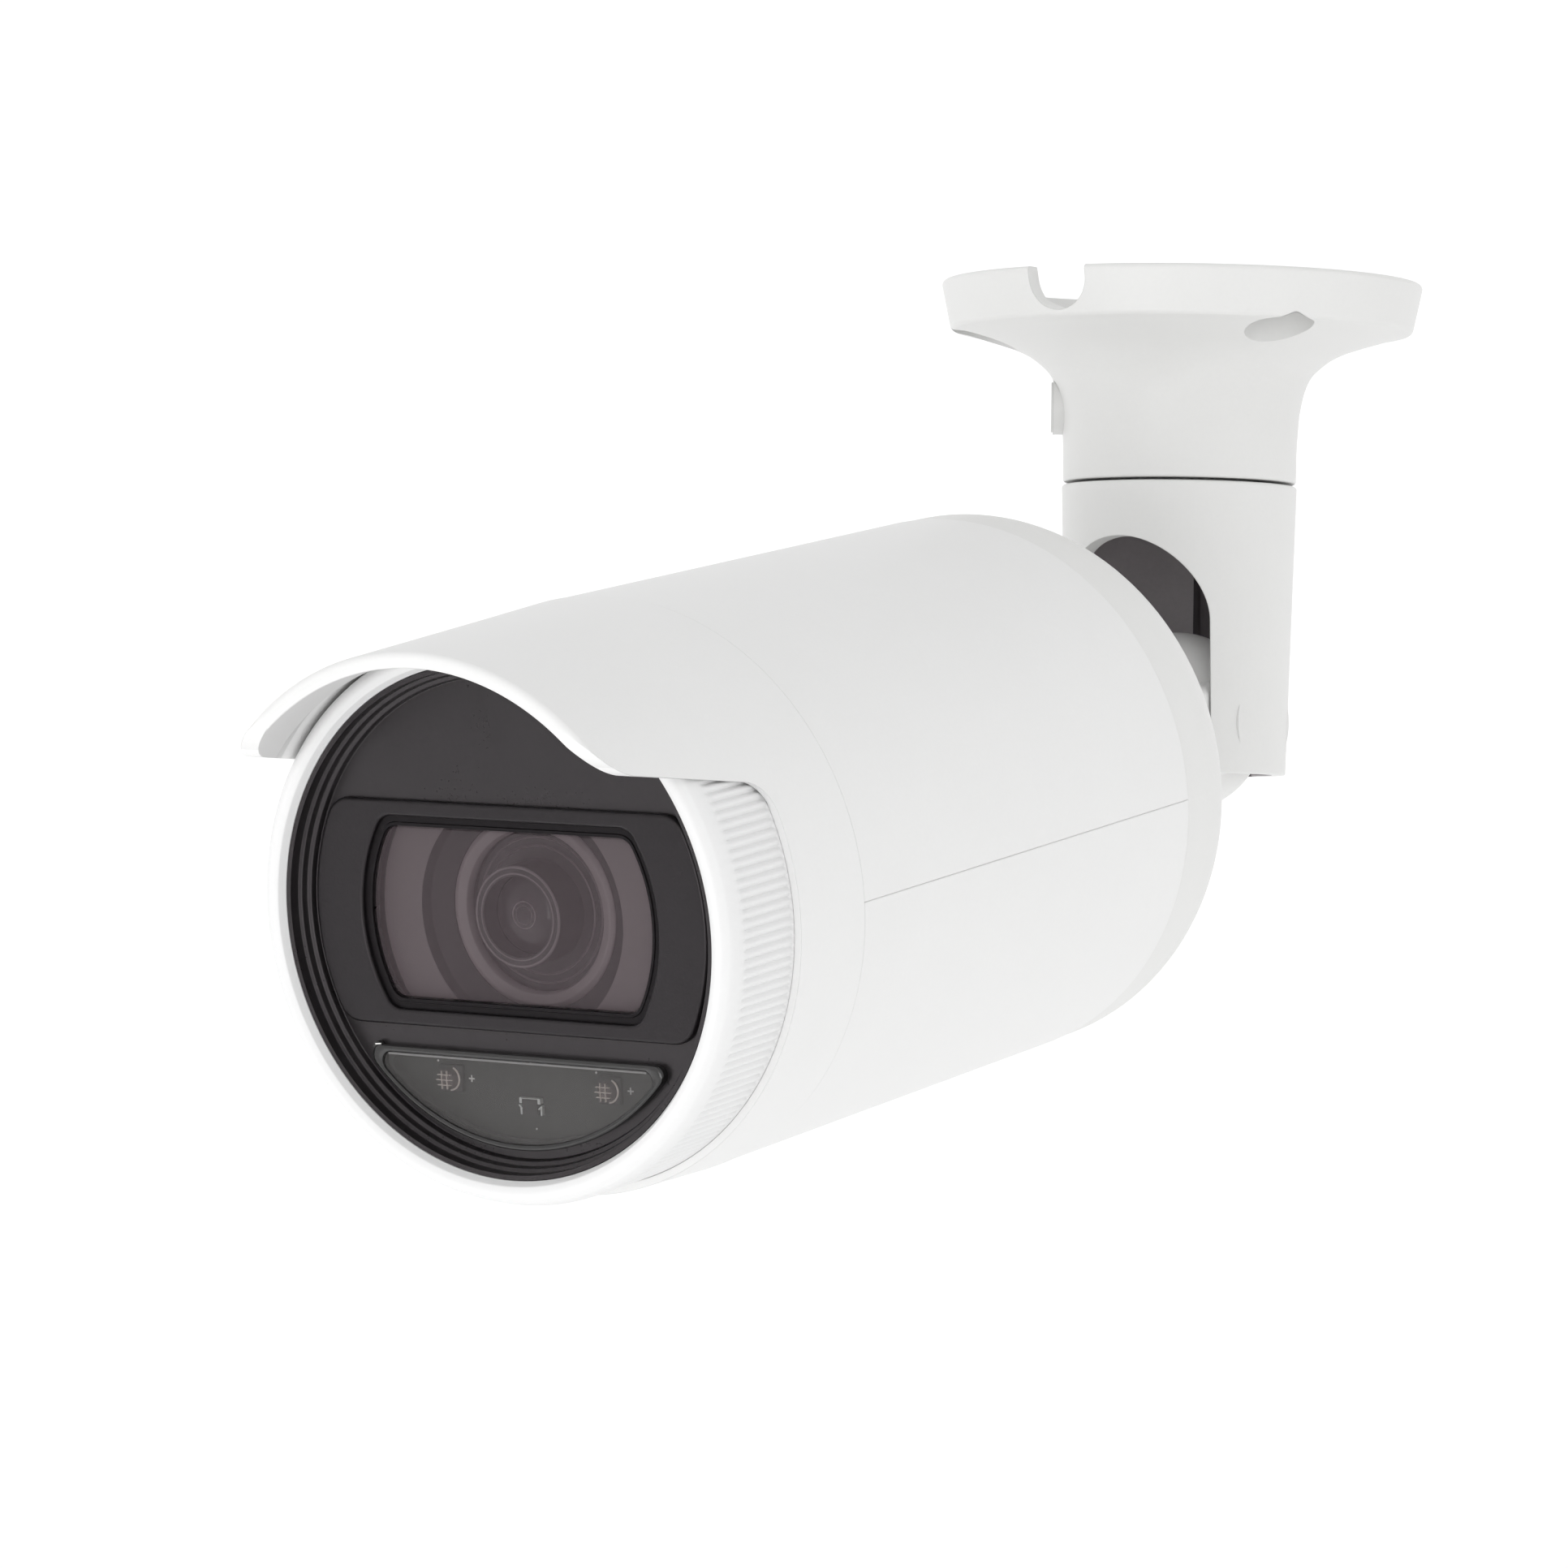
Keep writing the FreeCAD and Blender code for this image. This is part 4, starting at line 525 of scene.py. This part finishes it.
finish_piece(visor_piece(), CAM, "camera", None, ["sunshield"])

# ---------------------------------------------------------------- bracket
base_low, _, BASE_R = extent("ceiling_base", WORLD)
arm_low, _, ARM_R = extent("arm_housing", WORLD)
PIVOT_Z = PIVOT.z / MM
ARM_TOP = base_low.z - 0.45
ARM_BORE = 15.5
ARCH_HALF = 13.55
ARCH_Z = PIVOT_Z + 15.84
NECK_R = 18.85
ARM_ROOF = 4.6
CABLE_BORE = 8.5
CHANNEL_HALF = 5.7
PAD_R = 8.0
PIN_R = 3.05
PIN_HEAD_R = 5.2
SPIGOT_R = 13.5
SPIGOT_TOP = -17.0
CONE_Z = -11.0
SEAT_CIRCLE = 32
SEAT_ANGLES = (-30, -150, 90)
COLUMN_R = 7.7
SEAT_R = 5.5
SEAT_Z = -4.0
HOLE_R = 2.5
LOCK_ANGLE = -148
LOCK_Z = -20.3
LOCK_HALF = 4.4
LOCK_HOLE_R = 2.0
NOTCH_HALF = 5.2
NOTCH_DEPTH = 7.0


def flowing(points, steps=6):
    """A smooth curve through (r, z) points."""
    path = [points[0]]
    for i in range(len(points) - 1):
        p0 = Vector(points[max(0, i - 1)])
        p1, p2 = Vector(points[i]), Vector(points[i + 1])
        p3 = Vector(points[min(len(points) - 1, i + 2)])
        for k in range(1, steps + 1):
            t = k / steps
            q = 0.5 * (2 * p1 + (p2 - p0) * t + (2 * p0 - 5 * p1 + 4 * p2 - p3) * t * t
                       + (3 * p1 - p0 - 3 * p2 + p3) * t ** 3)
            path.append(tuple(q))
    return path


def pointing(obj, angle, z):
    """Turns a piece drawn along X about the vertical axis, at a height."""
    obj.data.transform(Matrix.Translation((0, 0, z)) @ Matrix.Rotation(math.radians(angle), 4, "Z"))
    return obj


def base_piece():
    drop = -base_low.z + CONE_Z
    flare = flowing([
        (NECK_R + 0.03, base_low.z + 5.0), (NECK_R + 0.15, CONE_Z - 0.65 * drop),
        (NECK_R + 0.54, CONE_Z - 0.444 * drop), (NECK_R + 1.63, CONE_Z - 0.247 * drop),
        (NECK_R + 3.64, CONE_Z - 0.121 * drop), (NECK_R + 7.75, CONE_Z), (34.9, -8.35),
    ], 8)
    rim = rounded([
        (34.9, -8.35, 0), (37.35, -7.9, 1.0), (BASE_R, 0, 0.7), (36.2, 0, 0.2), (34.7, -5.2, 0.8),
        (23.8, -8.2, 1.5), (17.2, -13.4, 1.0), (16.8, SPIGOT_TOP, 0.2),
        (SPIGOT_R + 0.06, SPIGOT_TOP, 0),
    ], 5)[1:]
    foot = rounded([
        (SPIGOT_R + 0.06, base_low.z, 0), (NECK_R, base_low.z, 0.4), (NECK_R + 0.02, base_low.z + 4, 0),
    ], 4)
    body = lathe("base", foot + flare + rim, 256, sharp=45)
    keep = lathe("inside", [
        (0.01, -12.5), (22.0, -12.5), (27.5, -9.9), (35.5, -7.4), (38.4, -0.05), (0.01, -0.05),
    ], 128)
    columns = []
    places = [(SEAT_CIRCLE * math.cos(math.radians(a)), SEAT_CIRCLE * math.sin(math.radians(a)))
              for a in SEAT_ANGLES]
    for x, y in places:
        columns.append(prism("column", circle(COLUMN_R, 64, x, y), -10.8, -0.02))
    posts = combine(join("columns", columns), keep, "INTERSECT")
    combine(body, posts, "UNION")
    for x, y in places:
        cut(body, prism("well", circle(SEAT_R, 72, x, y), -40, SEAT_Z))
        cut(body, prism("hole", circle(HOLE_R, 48, x, y), -10, 1))
    corners = ((-1, -1), (1, -1), (1, 1), (-1, 1))
    boss = prism("boss", rounded([(x * LOCK_HALF, y * LOCK_HALF, 4.3) for x, y in corners], 12),
                 16.5, 20.6, "X")
    cap = prism("cap", circle(4.05, 48), 20.0, 20.9, "X")
    combine(boss, cap, "UNION")
    combine(body, pointing(boss, LOCK_ANGLE, LOCK_Z), "UNION")
    cut(body, pointing(prism("lock", circle(LOCK_HOLE_R, 48), 12, 30, "X"), LOCK_ANGLE, LOCK_Z))
    half = NOTCH_HALF
    notch = rounded([(-half - 0.9, 1.5, 0), (-half, 0.0, 0.5), (-half, -NOTCH_DEPTH, half - 0.01),
                     (half, -NOTCH_DEPTH, half - 0.01), (half, 0.0, 0.5), (half + 0.9, 1.5, 0)], 14)
    cut(body, prism("notch", notch, -45, -30, "Y"))
    return body


finish_piece(base_piece(), WORLD, "base", shaded_white_paint, ["ceiling_base"])


def arm_piece():
    bottom = arm_low.z
    outline = rounded([
        (CABLE_BORE, SPIGOT_TOP, 0), (SPIGOT_R, SPIGOT_TOP, 0.3), (SPIGOT_R, ARM_TOP, 0),
        (ARM_R, ARM_TOP, 0.5), (ARM_R - 1.255, bottom, 0.35), (ARM_BORE, bottom, 0.2),
        (ARM_BORE, ARM_TOP - ARM_ROOF, 0.6), (CABLE_BORE, ARM_TOP - ARM_ROOF, 0.1),
    ], 5)
    body = lathe("arm", outline, 256, sharp=45)
    channel = [(-CHANNEL_HALF, 3), (CHANNEL_HALF, 3), (CHANNEL_HALF, 16.6), (-CHANNEL_HALF, 16.6)]
    cut(body, prism("channel", channel, bottom - 1, ARM_TOP - ARM_ROOF))
    for side in (-1, 1):
        near, far = sorted((side * 13.67, side * 16.4))
        pad = prism("pad", circle(PAD_R, 72), near, far, "X")
        pad.data.transform(Matrix.Translation((0, 0, PIVOT_Z)))
        combine(body, pad, "UNION")
    arch = [(ARCH_HALF * math.cos(a), ARCH_Z + ARCH_HALF * math.sin(a)) for a in
            [math.pi * k / 64 for k in range(65)]]
    arch += [(-ARCH_HALF, bottom - 1), (ARCH_HALF, bottom - 1)]
    cut(body, prism("arch", arch, -25, 0, "Y"))
    for radius, low, high in ((PIN_HEAD_R, -20, -15.3), (PIN_R, -20, -12), (PIN_R, 12, 16.2)):
        bore = prism("bore", circle(radius, 48), low, high, "X")
        bore.data.transform(Matrix.Translation((0, 0, PIVOT_Z)))
        cut(body, bore)
    body.data.materials.append(shaded_white_paint)
    body.data.materials.append(arm_dark)
    body.data.materials.append(channel_painted_shade)
    for face in body.data.polygons:
        c = face.center
        inward = Vector((c.x, c.y, 0)).normalized().dot(face.normal) < -0.3
        r = math.hypot(c.x, c.y)
        below_roof = c.z < ARM_TOP - 4.0
        # Faces inside the arm take the darker grey.
        if below_roof and (r < ARM_BORE + 0.3 and inward or face.normal.z < -0.6 and r < ARM_BORE):
            face.material_index = 1
        # Faces in the cable channel take the painted shade.
        in_channel = c.y > 10 and ARM_BORE + 0.05 < r < 17.8 and abs(c.x) < CHANNEL_HALF + 0.05
        if in_channel and below_roof and c.z > bottom + 0.05 and (inward or abs(face.normal.x) > 0.9):
            face.material_index = 2
    return body


finish_piece(arm_piece(), WORLD, "arm", None, ["arm_housing"])

# ---------------------------------------------------------------- face
def flat_disc(radius, half, corner, s, steps=8):
    """A disc cut flat above and below with rounded corners, as points at height s."""
    cx = math.sqrt((radius - corner) ** 2 - (half - corner) ** 2)
    cy = half - corner
    phi = math.atan2(cy, cx)
    quarter = [(radius * math.cos(phi * k / 24), radius * math.sin(phi * k / 24)) for k in range(25)]
    bends = [phi + (math.pi / 2 - phi) * k / steps for k in range(1, steps + 1)]
    quarter += [(cx + corner * math.cos(a), cy + corner * math.sin(a)) for a in bends]
    quarter += [(cx * (1 - k / 12), half) for k in range(1, 13)]
    left = [(-x, y) for x, y in reversed(quarter[:-1])]
    top = quarter + left
    bottom = [(x, -y) for x, y in reversed(top[1:-1])]
    return [(x, y, s) for x, y in top + bottom]


def segment(radius, chord, corner, s):
    """The part of a disc below a chord with rounded corners, as points at height s."""
    cy = -(chord + corner)
    cx = math.sqrt((radius - corner) ** 2 - cy ** 2)
    phi = math.atan2(cy, cx)
    points = [(radius * math.cos(t), radius * math.sin(t)) for t in
              [-math.pi / 2 + (phi + math.pi / 2) * k / 40 for k in range(41)]]
    bends = [phi + (math.pi / 2 - phi) * k / 8 for k in range(1, 9)]
    points += [(cx + corner * math.cos(a), cy + corner * math.sin(a)) for a in bends]
    points += [(cx * (1 - k / 12), -chord) for k in range(1, 13)]
    left = [(-x, y) for x, y in reversed(points[1:-1])]
    return [(x, y, s) for x, y in points + left]


def bar(x0, y0, x1, y1, width, low, high):
    """A flat printed line between two points."""
    d = Vector((x1 - x0, y1 - y0)).normalized() * width / 2
    n = Vector((-d.y, d.x))
    corners = [(x0 - n.x, y0 - n.y), (x1 - n.x, y1 - n.y), (x1 + n.x, y1 + n.y), (x0 + n.x, y0 + n.y)]
    return prism("bar", corners, low, high)


def tagged(obj, material):
    obj.data.materials.clear()
    obj.data.materials.append(material)
    return obj


FRAME_R = BEZEL_R - 8.3
BEZEL_H = 16.4
FRAME_H = BEZEL_H - 2.3
GLASS_H = glass_high.y
GLASS_CORNER = 2.5
LED_CORNER = 1.5
LED_LEDGE = 1.2
PLATE_HUB = 9.0
top = bezel_high.z


def bezel_piece():
    low = bezel_low.z
    loops = [
        flat_disc(BEZEL_R, BEZEL_H, 4.0, low),
        flat_disc(BEZEL_R, BEZEL_H, 4.0, top - 0.42),
        flat_disc(BEZEL_R - 0.08, BEZEL_H - 0.08, 3.9, top - 0.2),
        flat_disc(BEZEL_R - 0.25, BEZEL_H - 0.25, 3.8, top - 0.05),
        flat_disc(BEZEL_R - 0.45, BEZEL_H - 0.45, 3.6, top),
        flat_disc(BEZEL_R - 0.6, BEZEL_H - 0.6, 3.6, top),
        flat_disc(FRAME_R + 0.45, FRAME_H + 0.45, 3.2, top),
        flat_disc(FRAME_R + 0.3, FRAME_H + 0.3, 3.2, top),
        flat_disc(FRAME_R + 0.12, FRAME_H + 0.12, 3.1, top - 0.1),
        flat_disc(FRAME_R, FRAME_H, 3.0, top - 0.3),
        flat_disc(FRAME_R - 0.05, FRAME_H - 0.05, 3.0, top - 0.8),
        flat_disc(FRAME_R - 0.9, FRAME_H - 0.95, 2.8, top - 0.8),
        flat_disc(FRAME_R - 1.0, FRAME_H - 1.05, 2.8, top - 0.62),
        flat_disc(GLASS_R + 0.15, GLASS_H + 0.15, 2.5, top - 0.62),
        flat_disc(GLASS_R + 0.1, GLASS_H + 0.1, 2.5, top - 0.8),
        flat_disc(GLASS_R + 0.1, GLASS_H + 0.1, 2.5, low),
    ]
    obj = loft("bezel", loops, closed=True, sharp=50)
    obj.data.materials.append(bezel_black)
    obj.data.materials.append(groove_painted_shade)
    # Faces in the groove take the painted shade.
    for face in obj.data.polygons:
        c = face.center
        if c.z < top - 0.5 and abs(c.y) < FRAME_H + 0.01 and math.hypot(c.x, c.y) < FRAME_R:
            face.material_index = 1
    return obj


finish_piece(bezel_piece(), CAM, "camera", None, ["bezel_frame"])


def window_piece():
    loops = [
        flat_disc(GLASS_R - 0.1, GLASS_H - 0.1, 2.4, glass_low.z),
        flat_disc(GLASS_R, GLASS_H, 2.5, glass_low.z + 0.1),
        flat_disc(GLASS_R, GLASS_H, 2.5, glass_high.z - 0.22),
        flat_disc(GLASS_R - 0.22, GLASS_H - 0.22, 2.4, glass_high.z),
    ]
    return loft("lens_glass", loops, sharp=30)


finish_piece(window_piece(), CAM, "camera", window_glass, ["lens_window"])


def led_loop(inset, s):
    return segment(LED_R - inset, -led_high.y + inset, LED_CORNER, s)


def plate_piece():
    back, end = plate_low.z, LIP_S - 0.1
    inner = LIP_R - 0.12
    shelf = ring_high.z - LIP_DEPTH - 0.15
    profile = [
        (PLATE_HUB, back), (PLATE_R, back), (PLATE_R, shelf), (inner, shelf), (inner, end),
    ]
    profile += rounded([
        (inner - 0.55, end, 0.15), (inner - 0.7, PLATE_S + 2.3, 0.15), (inner - 1.3, PLATE_S + 2.2, 0.2),
        (inner - 1.45, PLATE_S + 1.1, 0.2), (inner - 2.1, PLATE_S + 1.0, 0.2), (inner - 2.25, PLATE_S, 0.2),
        (PLATE_HUB, PLATE_S, 0),
    ], 4)[1:]
    disc = lathe("face_plate", profile, 256, sharp=40)
    through = (back - 1, PLATE_S + 1)
    cut(disc, loft("hole", [flat_disc(GLASS_R + 0.12, GLASS_H + 0.12, GLASS_CORNER, z) for z in through]))
    return cut(disc, loft("mouth", [led_loop(LED_LEDGE, z) for z in through]))


finish_piece(plate_piece(), CAM, "camera", plate_black, ["front_plate"])


def led_window_piece():
    """A raised glossy rim round a smoked pane."""
    rise = led_high.z
    low = PLATE_S + 0.03
    rim = tagged(loft("led_rim", [
        led_loop(0.0, low), led_loop(0.0, rise - 0.3), led_loop(0.08, rise - 0.1), led_loop(0.28, rise),
        led_loop(0.62, rise), led_loop(0.8, rise - 0.1), led_loop(0.86, rise - 0.4), led_loop(0.86, low),
    ], closed=True, sharp=50), rim_black)
    pane = loft("led_pane", [led_loop(0.9, rise - 0.9), led_loop(0.9, rise - 0.32)], sharp=30)
    tagged(pane, smoked)
    clip_x = -24.6
    clip_y = led_high.y - 0.3
    clips = [tagged(prism("clip", circle(0.75, 24, clip_x, clip_y), low, rise - 0.35), rim_black),
             tagged(bar(clip_x - 0.3, clip_y + 0.35, clip_x + 0.7, clip_y + 0.45, 0.16, rise - 0.4,
                        rise - 0.28), mark_white)]
    # A grey strip along the top edge of the pane: painted highlight.
    highlight_strip_y = led_high.y - 1.15
    shelf = tagged(bar(-22.6, highlight_strip_y, 22.6, highlight_strip_y, 0.3, rise - 0.36, rise - 0.24), highlight_strip_grey)
    return join("led_cover", [rim, pane, shelf] + clips)


finish_piece(led_window_piece(), CAM, "camera", None, ["led_window"])

# ---------------------------------------------------------------- behind the LED window
BOARD_S = board_high.z
LED_PLACES = ((-13.9, -24.3), (13.9, -24.3))
SENSOR_Y = -27.6


def board_piece():
    chord = -board_high.y
    loops = [segment(BOARD_R, chord, 2.0, board_low.z), segment(BOARD_R, chord, 2.0, BOARD_S - 0.1),
             segment(BOARD_R - 0.1, chord + 0.1, 1.9, BOARD_S)]
    parts = [tagged(loft("board", loops), solder_mask)]
    low, high = BOARD_S - 0.05, BOARD_S + 0.05
    for x, y in LED_PLACES:
        parts.append(tagged(bar(x + 2.8, y, x + 3.8, y, 0.2, low, high), mark_white))
        parts.append(tagged(bar(x + 3.3, y - 0.5, x + 3.3, y + 0.5, 0.2, low, high), mark_white))
        parts.append(tagged(prism("dot", circle(0.17, 16, x - 2.5, y + 2.3), low, high), mark_white))
        # A dark line under each LED package: painted shade.
        parts.append(tagged(bar(x - 2.2, y - 2.35, x + 2.2, y - 2.35, 0.1, low, high), painted_shade_dark))
    for x, y in ((0.0, -21.2), (0.4, -30.9), (24.0, -22.0)):
        parts.append(tagged(prism("via", circle(0.14, 16, x, y), low, high), mark_white))
    return join("led_carrier", parts)


finish_piece(board_piece(), CAM, "camera", None, ["led_board"])


def led_piece(x, y):
    base = BOARD_S + 0.02
    package = loft("package", [[(px, py, s) for px, py in rounded(
        [(x - h, y - h, 0.3), (x + h, y - h, 0.3), (x + h, y + h, 0.3), (x - h, y + h, 0.3)], 3)]
        for h, s in ((2.0, base), (2.0, base + 0.5), (1.85, base + 0.68))])
    dome = lathe("dome", [(0.001, base + 0.6), (1.65, base + 0.6)]
                 + [(1.65 * math.cos(a), base + 0.75 + 1.5 * math.sin(a)) for a in
                    [math.pi / 2 * k / 12 for k in range(12)]] + [(0.001, base + 2.25)], 48)
    dome.data.transform(Matrix.Translation((x, y, 0)))
    # A bright crescent on the right of each dome, drawn as a part ring: painted reflection.
    rim = lathe("rim", [(1.7 + 0.15 * math.cos(a), base + 0.85 + 0.15 * math.sin(a)) for a in
                        [2 * math.pi * k / 8 for k in range(8)]],
                angles=[math.radians(-85 + 6 * k) for k in range(26)])
    rim.data.transform(Matrix.Translation((x, y, 0)))
    wires = []
    for k in (-0.75, 0.0, 0.75):
        reach = math.sqrt(1.4 ** 2 - k ** 2)
        wires.append(bar(x - reach, y + k, x + reach, y + k, 0.09, base + 1.95, base + 2.28))
    for k in (-0.45, 0.45):
        reach = math.sqrt(1.4 ** 2 - k ** 2)
        wires.append(bar(x + k, y - reach, x + k, y + reach, 0.09, base + 1.95, base + 2.28))
    return [tagged(package, barrel_black), tagged(dome, resin), tagged(rim, grid_and_glint)] + [
        tagged(w, grid_and_glint) for w in wires]


leds = join("led_emitters", [p for x, y in LED_PLACES for p in led_piece(x, y)])
finish_piece(leds, CAM, "camera", None, ["ir_leds"])


def light_sensor_piece():
    s0 = BOARD_S + 0.02
    low, high = SENSOR_Y - 1.15, SENSOR_Y + 1.1
    body = prism("body", [(-1.25, low), (1.25, low), (1.25, high), (-1.25, high)], s0, s0 + 0.8)
    parts = [tagged(body, barrel_black)]
    parts.append(tagged(bar(-1.7, SENSOR_Y + 1.22, 1.7, SENSOR_Y + 1.22, 0.1, s0, s0 + 0.85), mark_white))
    blobs = ((1.6, 0.5, 1.6, 1.3, 0.45, 0.8), (1.75, -1.2, 1.75, 0.1, 0.3, 0.5),
             (1.4, -0.3, 2.0, 0.2, 0.2, 0.7))
    for side in (-1, 1):
        for x0, y0, x1, y1, width, tall in blobs:
            blob = bar(side * x0, SENSOR_Y + y0, side * x1, SENSOR_Y + y1, width, s0, s0 + tall)
            parts.append(tagged(blob, led_tin))
    return join("daylight_sensor", parts)


finish_piece(light_sensor_piece(), CAM, "camera", None, ["light_sensor"])

# ---------------------------------------------------------------- behind the lens window
SHROUD_S = shroud_high.z
SHROUD_OUT = 18.9
SHROUD_MOUTH = 17.6
HALO_OUT = 14.1
HALO_IN = 11.7


def shroud_piece():
    back = shroud_low.z
    floor = back + 1.0
    face = loft("face", [flat_disc(GLASS_R - 0.1, GLASS_H + 0.6, 2.4, SHROUD_S - 0.8),
                         flat_disc(GLASS_R - 0.1, GLASS_H + 0.6, 2.4, SHROUD_S - 0.05)])
    cut(face, prism("mouth", circle(SHROUD_MOUTH, 160), SHROUD_S - 3, SHROUD_S + 1))
    # The funnel takes the painted shade.
    funnel = lathe("funnel", rounded([
        (SHROUD_OUT, SHROUD_S - 0.1, 0), (17.5, SHROUD_S - 0.1, 0.4), (17.0, floor + 2.0, 0.5),
        (HALO_OUT, floor + 0.35, 0.2), (HALO_OUT, back, 0), (SHROUD_OUT, back, 0),
    ], 5), 192)
    # The ridge takes the painted highlight.
    halo = lathe("halo", rounded([
        (HALO_OUT, floor + 0.3, 0.5), (13.3, floor + 0.75, 0.5), (12.0, floor + 0.3, 0.3),
        (HALO_IN, floor - 0.3, 0), (HALO_IN, back, 0), (HALO_OUT, back, 0),
    ], 5), 192)
    return join("lens_mask", [tagged(face, shroud_light), tagged(funnel, painted_shade_dark),
                              tagged(halo, halo_painted_highlight)])


finish_piece(shroud_piece(), CAM, "camera", None, ["lens_shroud"])


def nose_rings():
    """Lighter rings round the front of the lens, in front of the barrel: painted highlights on its turned
    edges.
    """
    rings = []
    for radius, width, s in ((7.15, 0.22, NOSE_S), (6.25, 0.16, NOSE_S)):
        rings.append(tagged(lathe("line", [
            (radius - width, s - 0.1), (radius - width * 0.4, s + 0.1), (radius + width * 0.4, s + 0.1),
            (radius + width, s - 0.1)], 128), barrel_painted_highlight))
    for radius, s in ((9.3, NOSE_S - 5.75), (10.6, NOSE_S - 5.8)):
        ridge = [(radius - 0.15, s - 0.1), (radius, s + 0.1), (radius + 0.15, s - 0.1)]
        rings.append(tagged(lathe("line", ridge, 128), barrel_painted_highlight))
    return join("lens_rings", rings)


finish_piece(nose_rings(), CAM, "camera", None)


def front_glass_piece():
    lo, hi, r = extent("front_lens", CAM)
    mid = (lo.z + hi.z) / 2
    outline = [(0.001, lo.z)] + [(r * math.sin(a), mid - (mid - lo.z) * math.cos(a)) for a in
                                 [math.pi / 2 * k / 14 for k in range(1, 14)]]
    outline += [(r * math.sin(a), mid + (hi.z - mid) * math.cos(a)) for a in
                [math.pi / 2 * k / 14 for k in range(14, 0, -1)]] + [(0.001, hi.z)]
    lens = tagged(lathe("glass", outline, 96), glass_lens)
    parts = [lens]
    # Two lighter rings stand on the front glass.
    for radius, width in ((1.95, 0.14), (1.35, 0.09)):
        parts.append(tagged(lathe("iris", [(radius - width, hi.z - 0.25), (radius, hi.z + 0.06),
                                           (radius + width, hi.z - 0.25)], 64), glass_ring_line))
    return join("front_element", parts)


finish_piece(front_glass_piece(), CAM, "camera", None, ["front_lens"])

# ---------------------------------------------------------------- camera, light and floor
AZ, EL, ROLL = map(math.radians, (34.13, -1.10, 0.84))
look = Vector((-math.sin(AZ) * math.cos(EL), math.cos(AZ) * math.cos(EL), -math.sin(EL)))
right = Vector((math.cos(AZ), math.sin(AZ), 0))
over = right.cross(look)
right_r = math.cos(ROLL) * right + math.sin(ROLL) * over
over_r = -math.sin(ROLL) * right + math.cos(ROLL) * over
AIM = -0.06333 * right + Vector((0, 0, -0.08202))
DISTANCE = 1.215
FOCAL_MM = 172.3
SENSOR_MM = 36.0
camera_data = bpy.data.cameras.new("camera")
camera_data.sensor_fit = "HORIZONTAL"
camera_data.sensor_width = SENSOR_MM
camera_data.lens = FOCAL_MM
camera_data.clip_start = 0.01
camera_data.clip_end = 50.0
camera = bpy.data.objects.new("camera", camera_data)
bpy.context.scene.collection.objects.link(camera)
pose = Matrix((right_r, over_r, -look)).transposed().to_4x4()
pose.translation = AIM - DISTANCE * look
camera.matrix_world = pose
bpy.context.scene.camera = camera

world = bpy.data.worlds.new("studio")
bpy.context.scene.world = world
world.use_nodes = True
world.node_tree.nodes["Background"].inputs["Color"].default_value = (1, 1, 1, 1)
world.node_tree.nodes["Background"].inputs["Strength"].default_value = 0.84
bpy.context.scene.view_settings.view_transform = "Standard"


def area(name, place, target, width, height, power):
    data = bpy.data.lights.new(name, "AREA")
    data.shape = "RECTANGLE"
    data.size = width
    data.size_y = height
    data.energy = power
    lamp = bpy.data.objects.new(name, data)
    lamp.location = place
    aim = (Vector(target) - Vector(place)).to_track_quat("-Z", "Y")
    lamp.rotation_euler = aim.to_euler()
    bpy.context.scene.collection.objects.link(lamp)
    return lamp


CENTRE = (0, -0.1, -0.08)
area("front_softbox", (0.12, -1.25, -0.38), CENTRE, 0.55, 0.4, 2.2)
area("low_softbox", (0.55, -0.95, -0.8), CENTRE, 1.0, 0.6, 0.9)
area("left_softbox", (-0.7, -1.0, -0.75), CENTRE, 0.8, 0.5, 1.0)

floor_white = shader("studio_floor", (0.93, 0.93, 0.93), 0.9, grain=60, tone=0.004, bump=0.0, cloud=4,
                     Emission_Color=(1, 1, 1, 1), Emission_Strength=0.16)
FLOOR_Z = -1.15
BOWL_R = 2.0
BOWL_ROUND = 1.2
BOWL_TOP = 2.2
sweep = [(0.001, FLOOR_Z), (0.7, FLOOR_Z), (1.4, FLOOR_Z)]
sweep += [(BOWL_R + BOWL_ROUND * math.sin(a), FLOOR_Z + BOWL_ROUND * (1 - math.cos(a))) for a in
          [math.pi / 2 * k / 16 for k in range(17)]]
sweep += [(BOWL_R + BOWL_ROUND, BOWL_TOP)]
columns = 96
verts = [(r * math.cos(2 * math.pi * i / columns), r * math.sin(2 * math.pi * i / columns), z)
         for i in range(columns) for r, z in sweep]
rows = len(sweep)
faces = [(i * rows + k, (i + 1) % columns * rows + k, (i + 1) % columns * rows + k + 1, i * rows + k + 1)
         for i in range(columns) for k in range(rows - 1)]
floor = make("studio_floor", verts, faces)
floor.data.materials.append(floor_white)
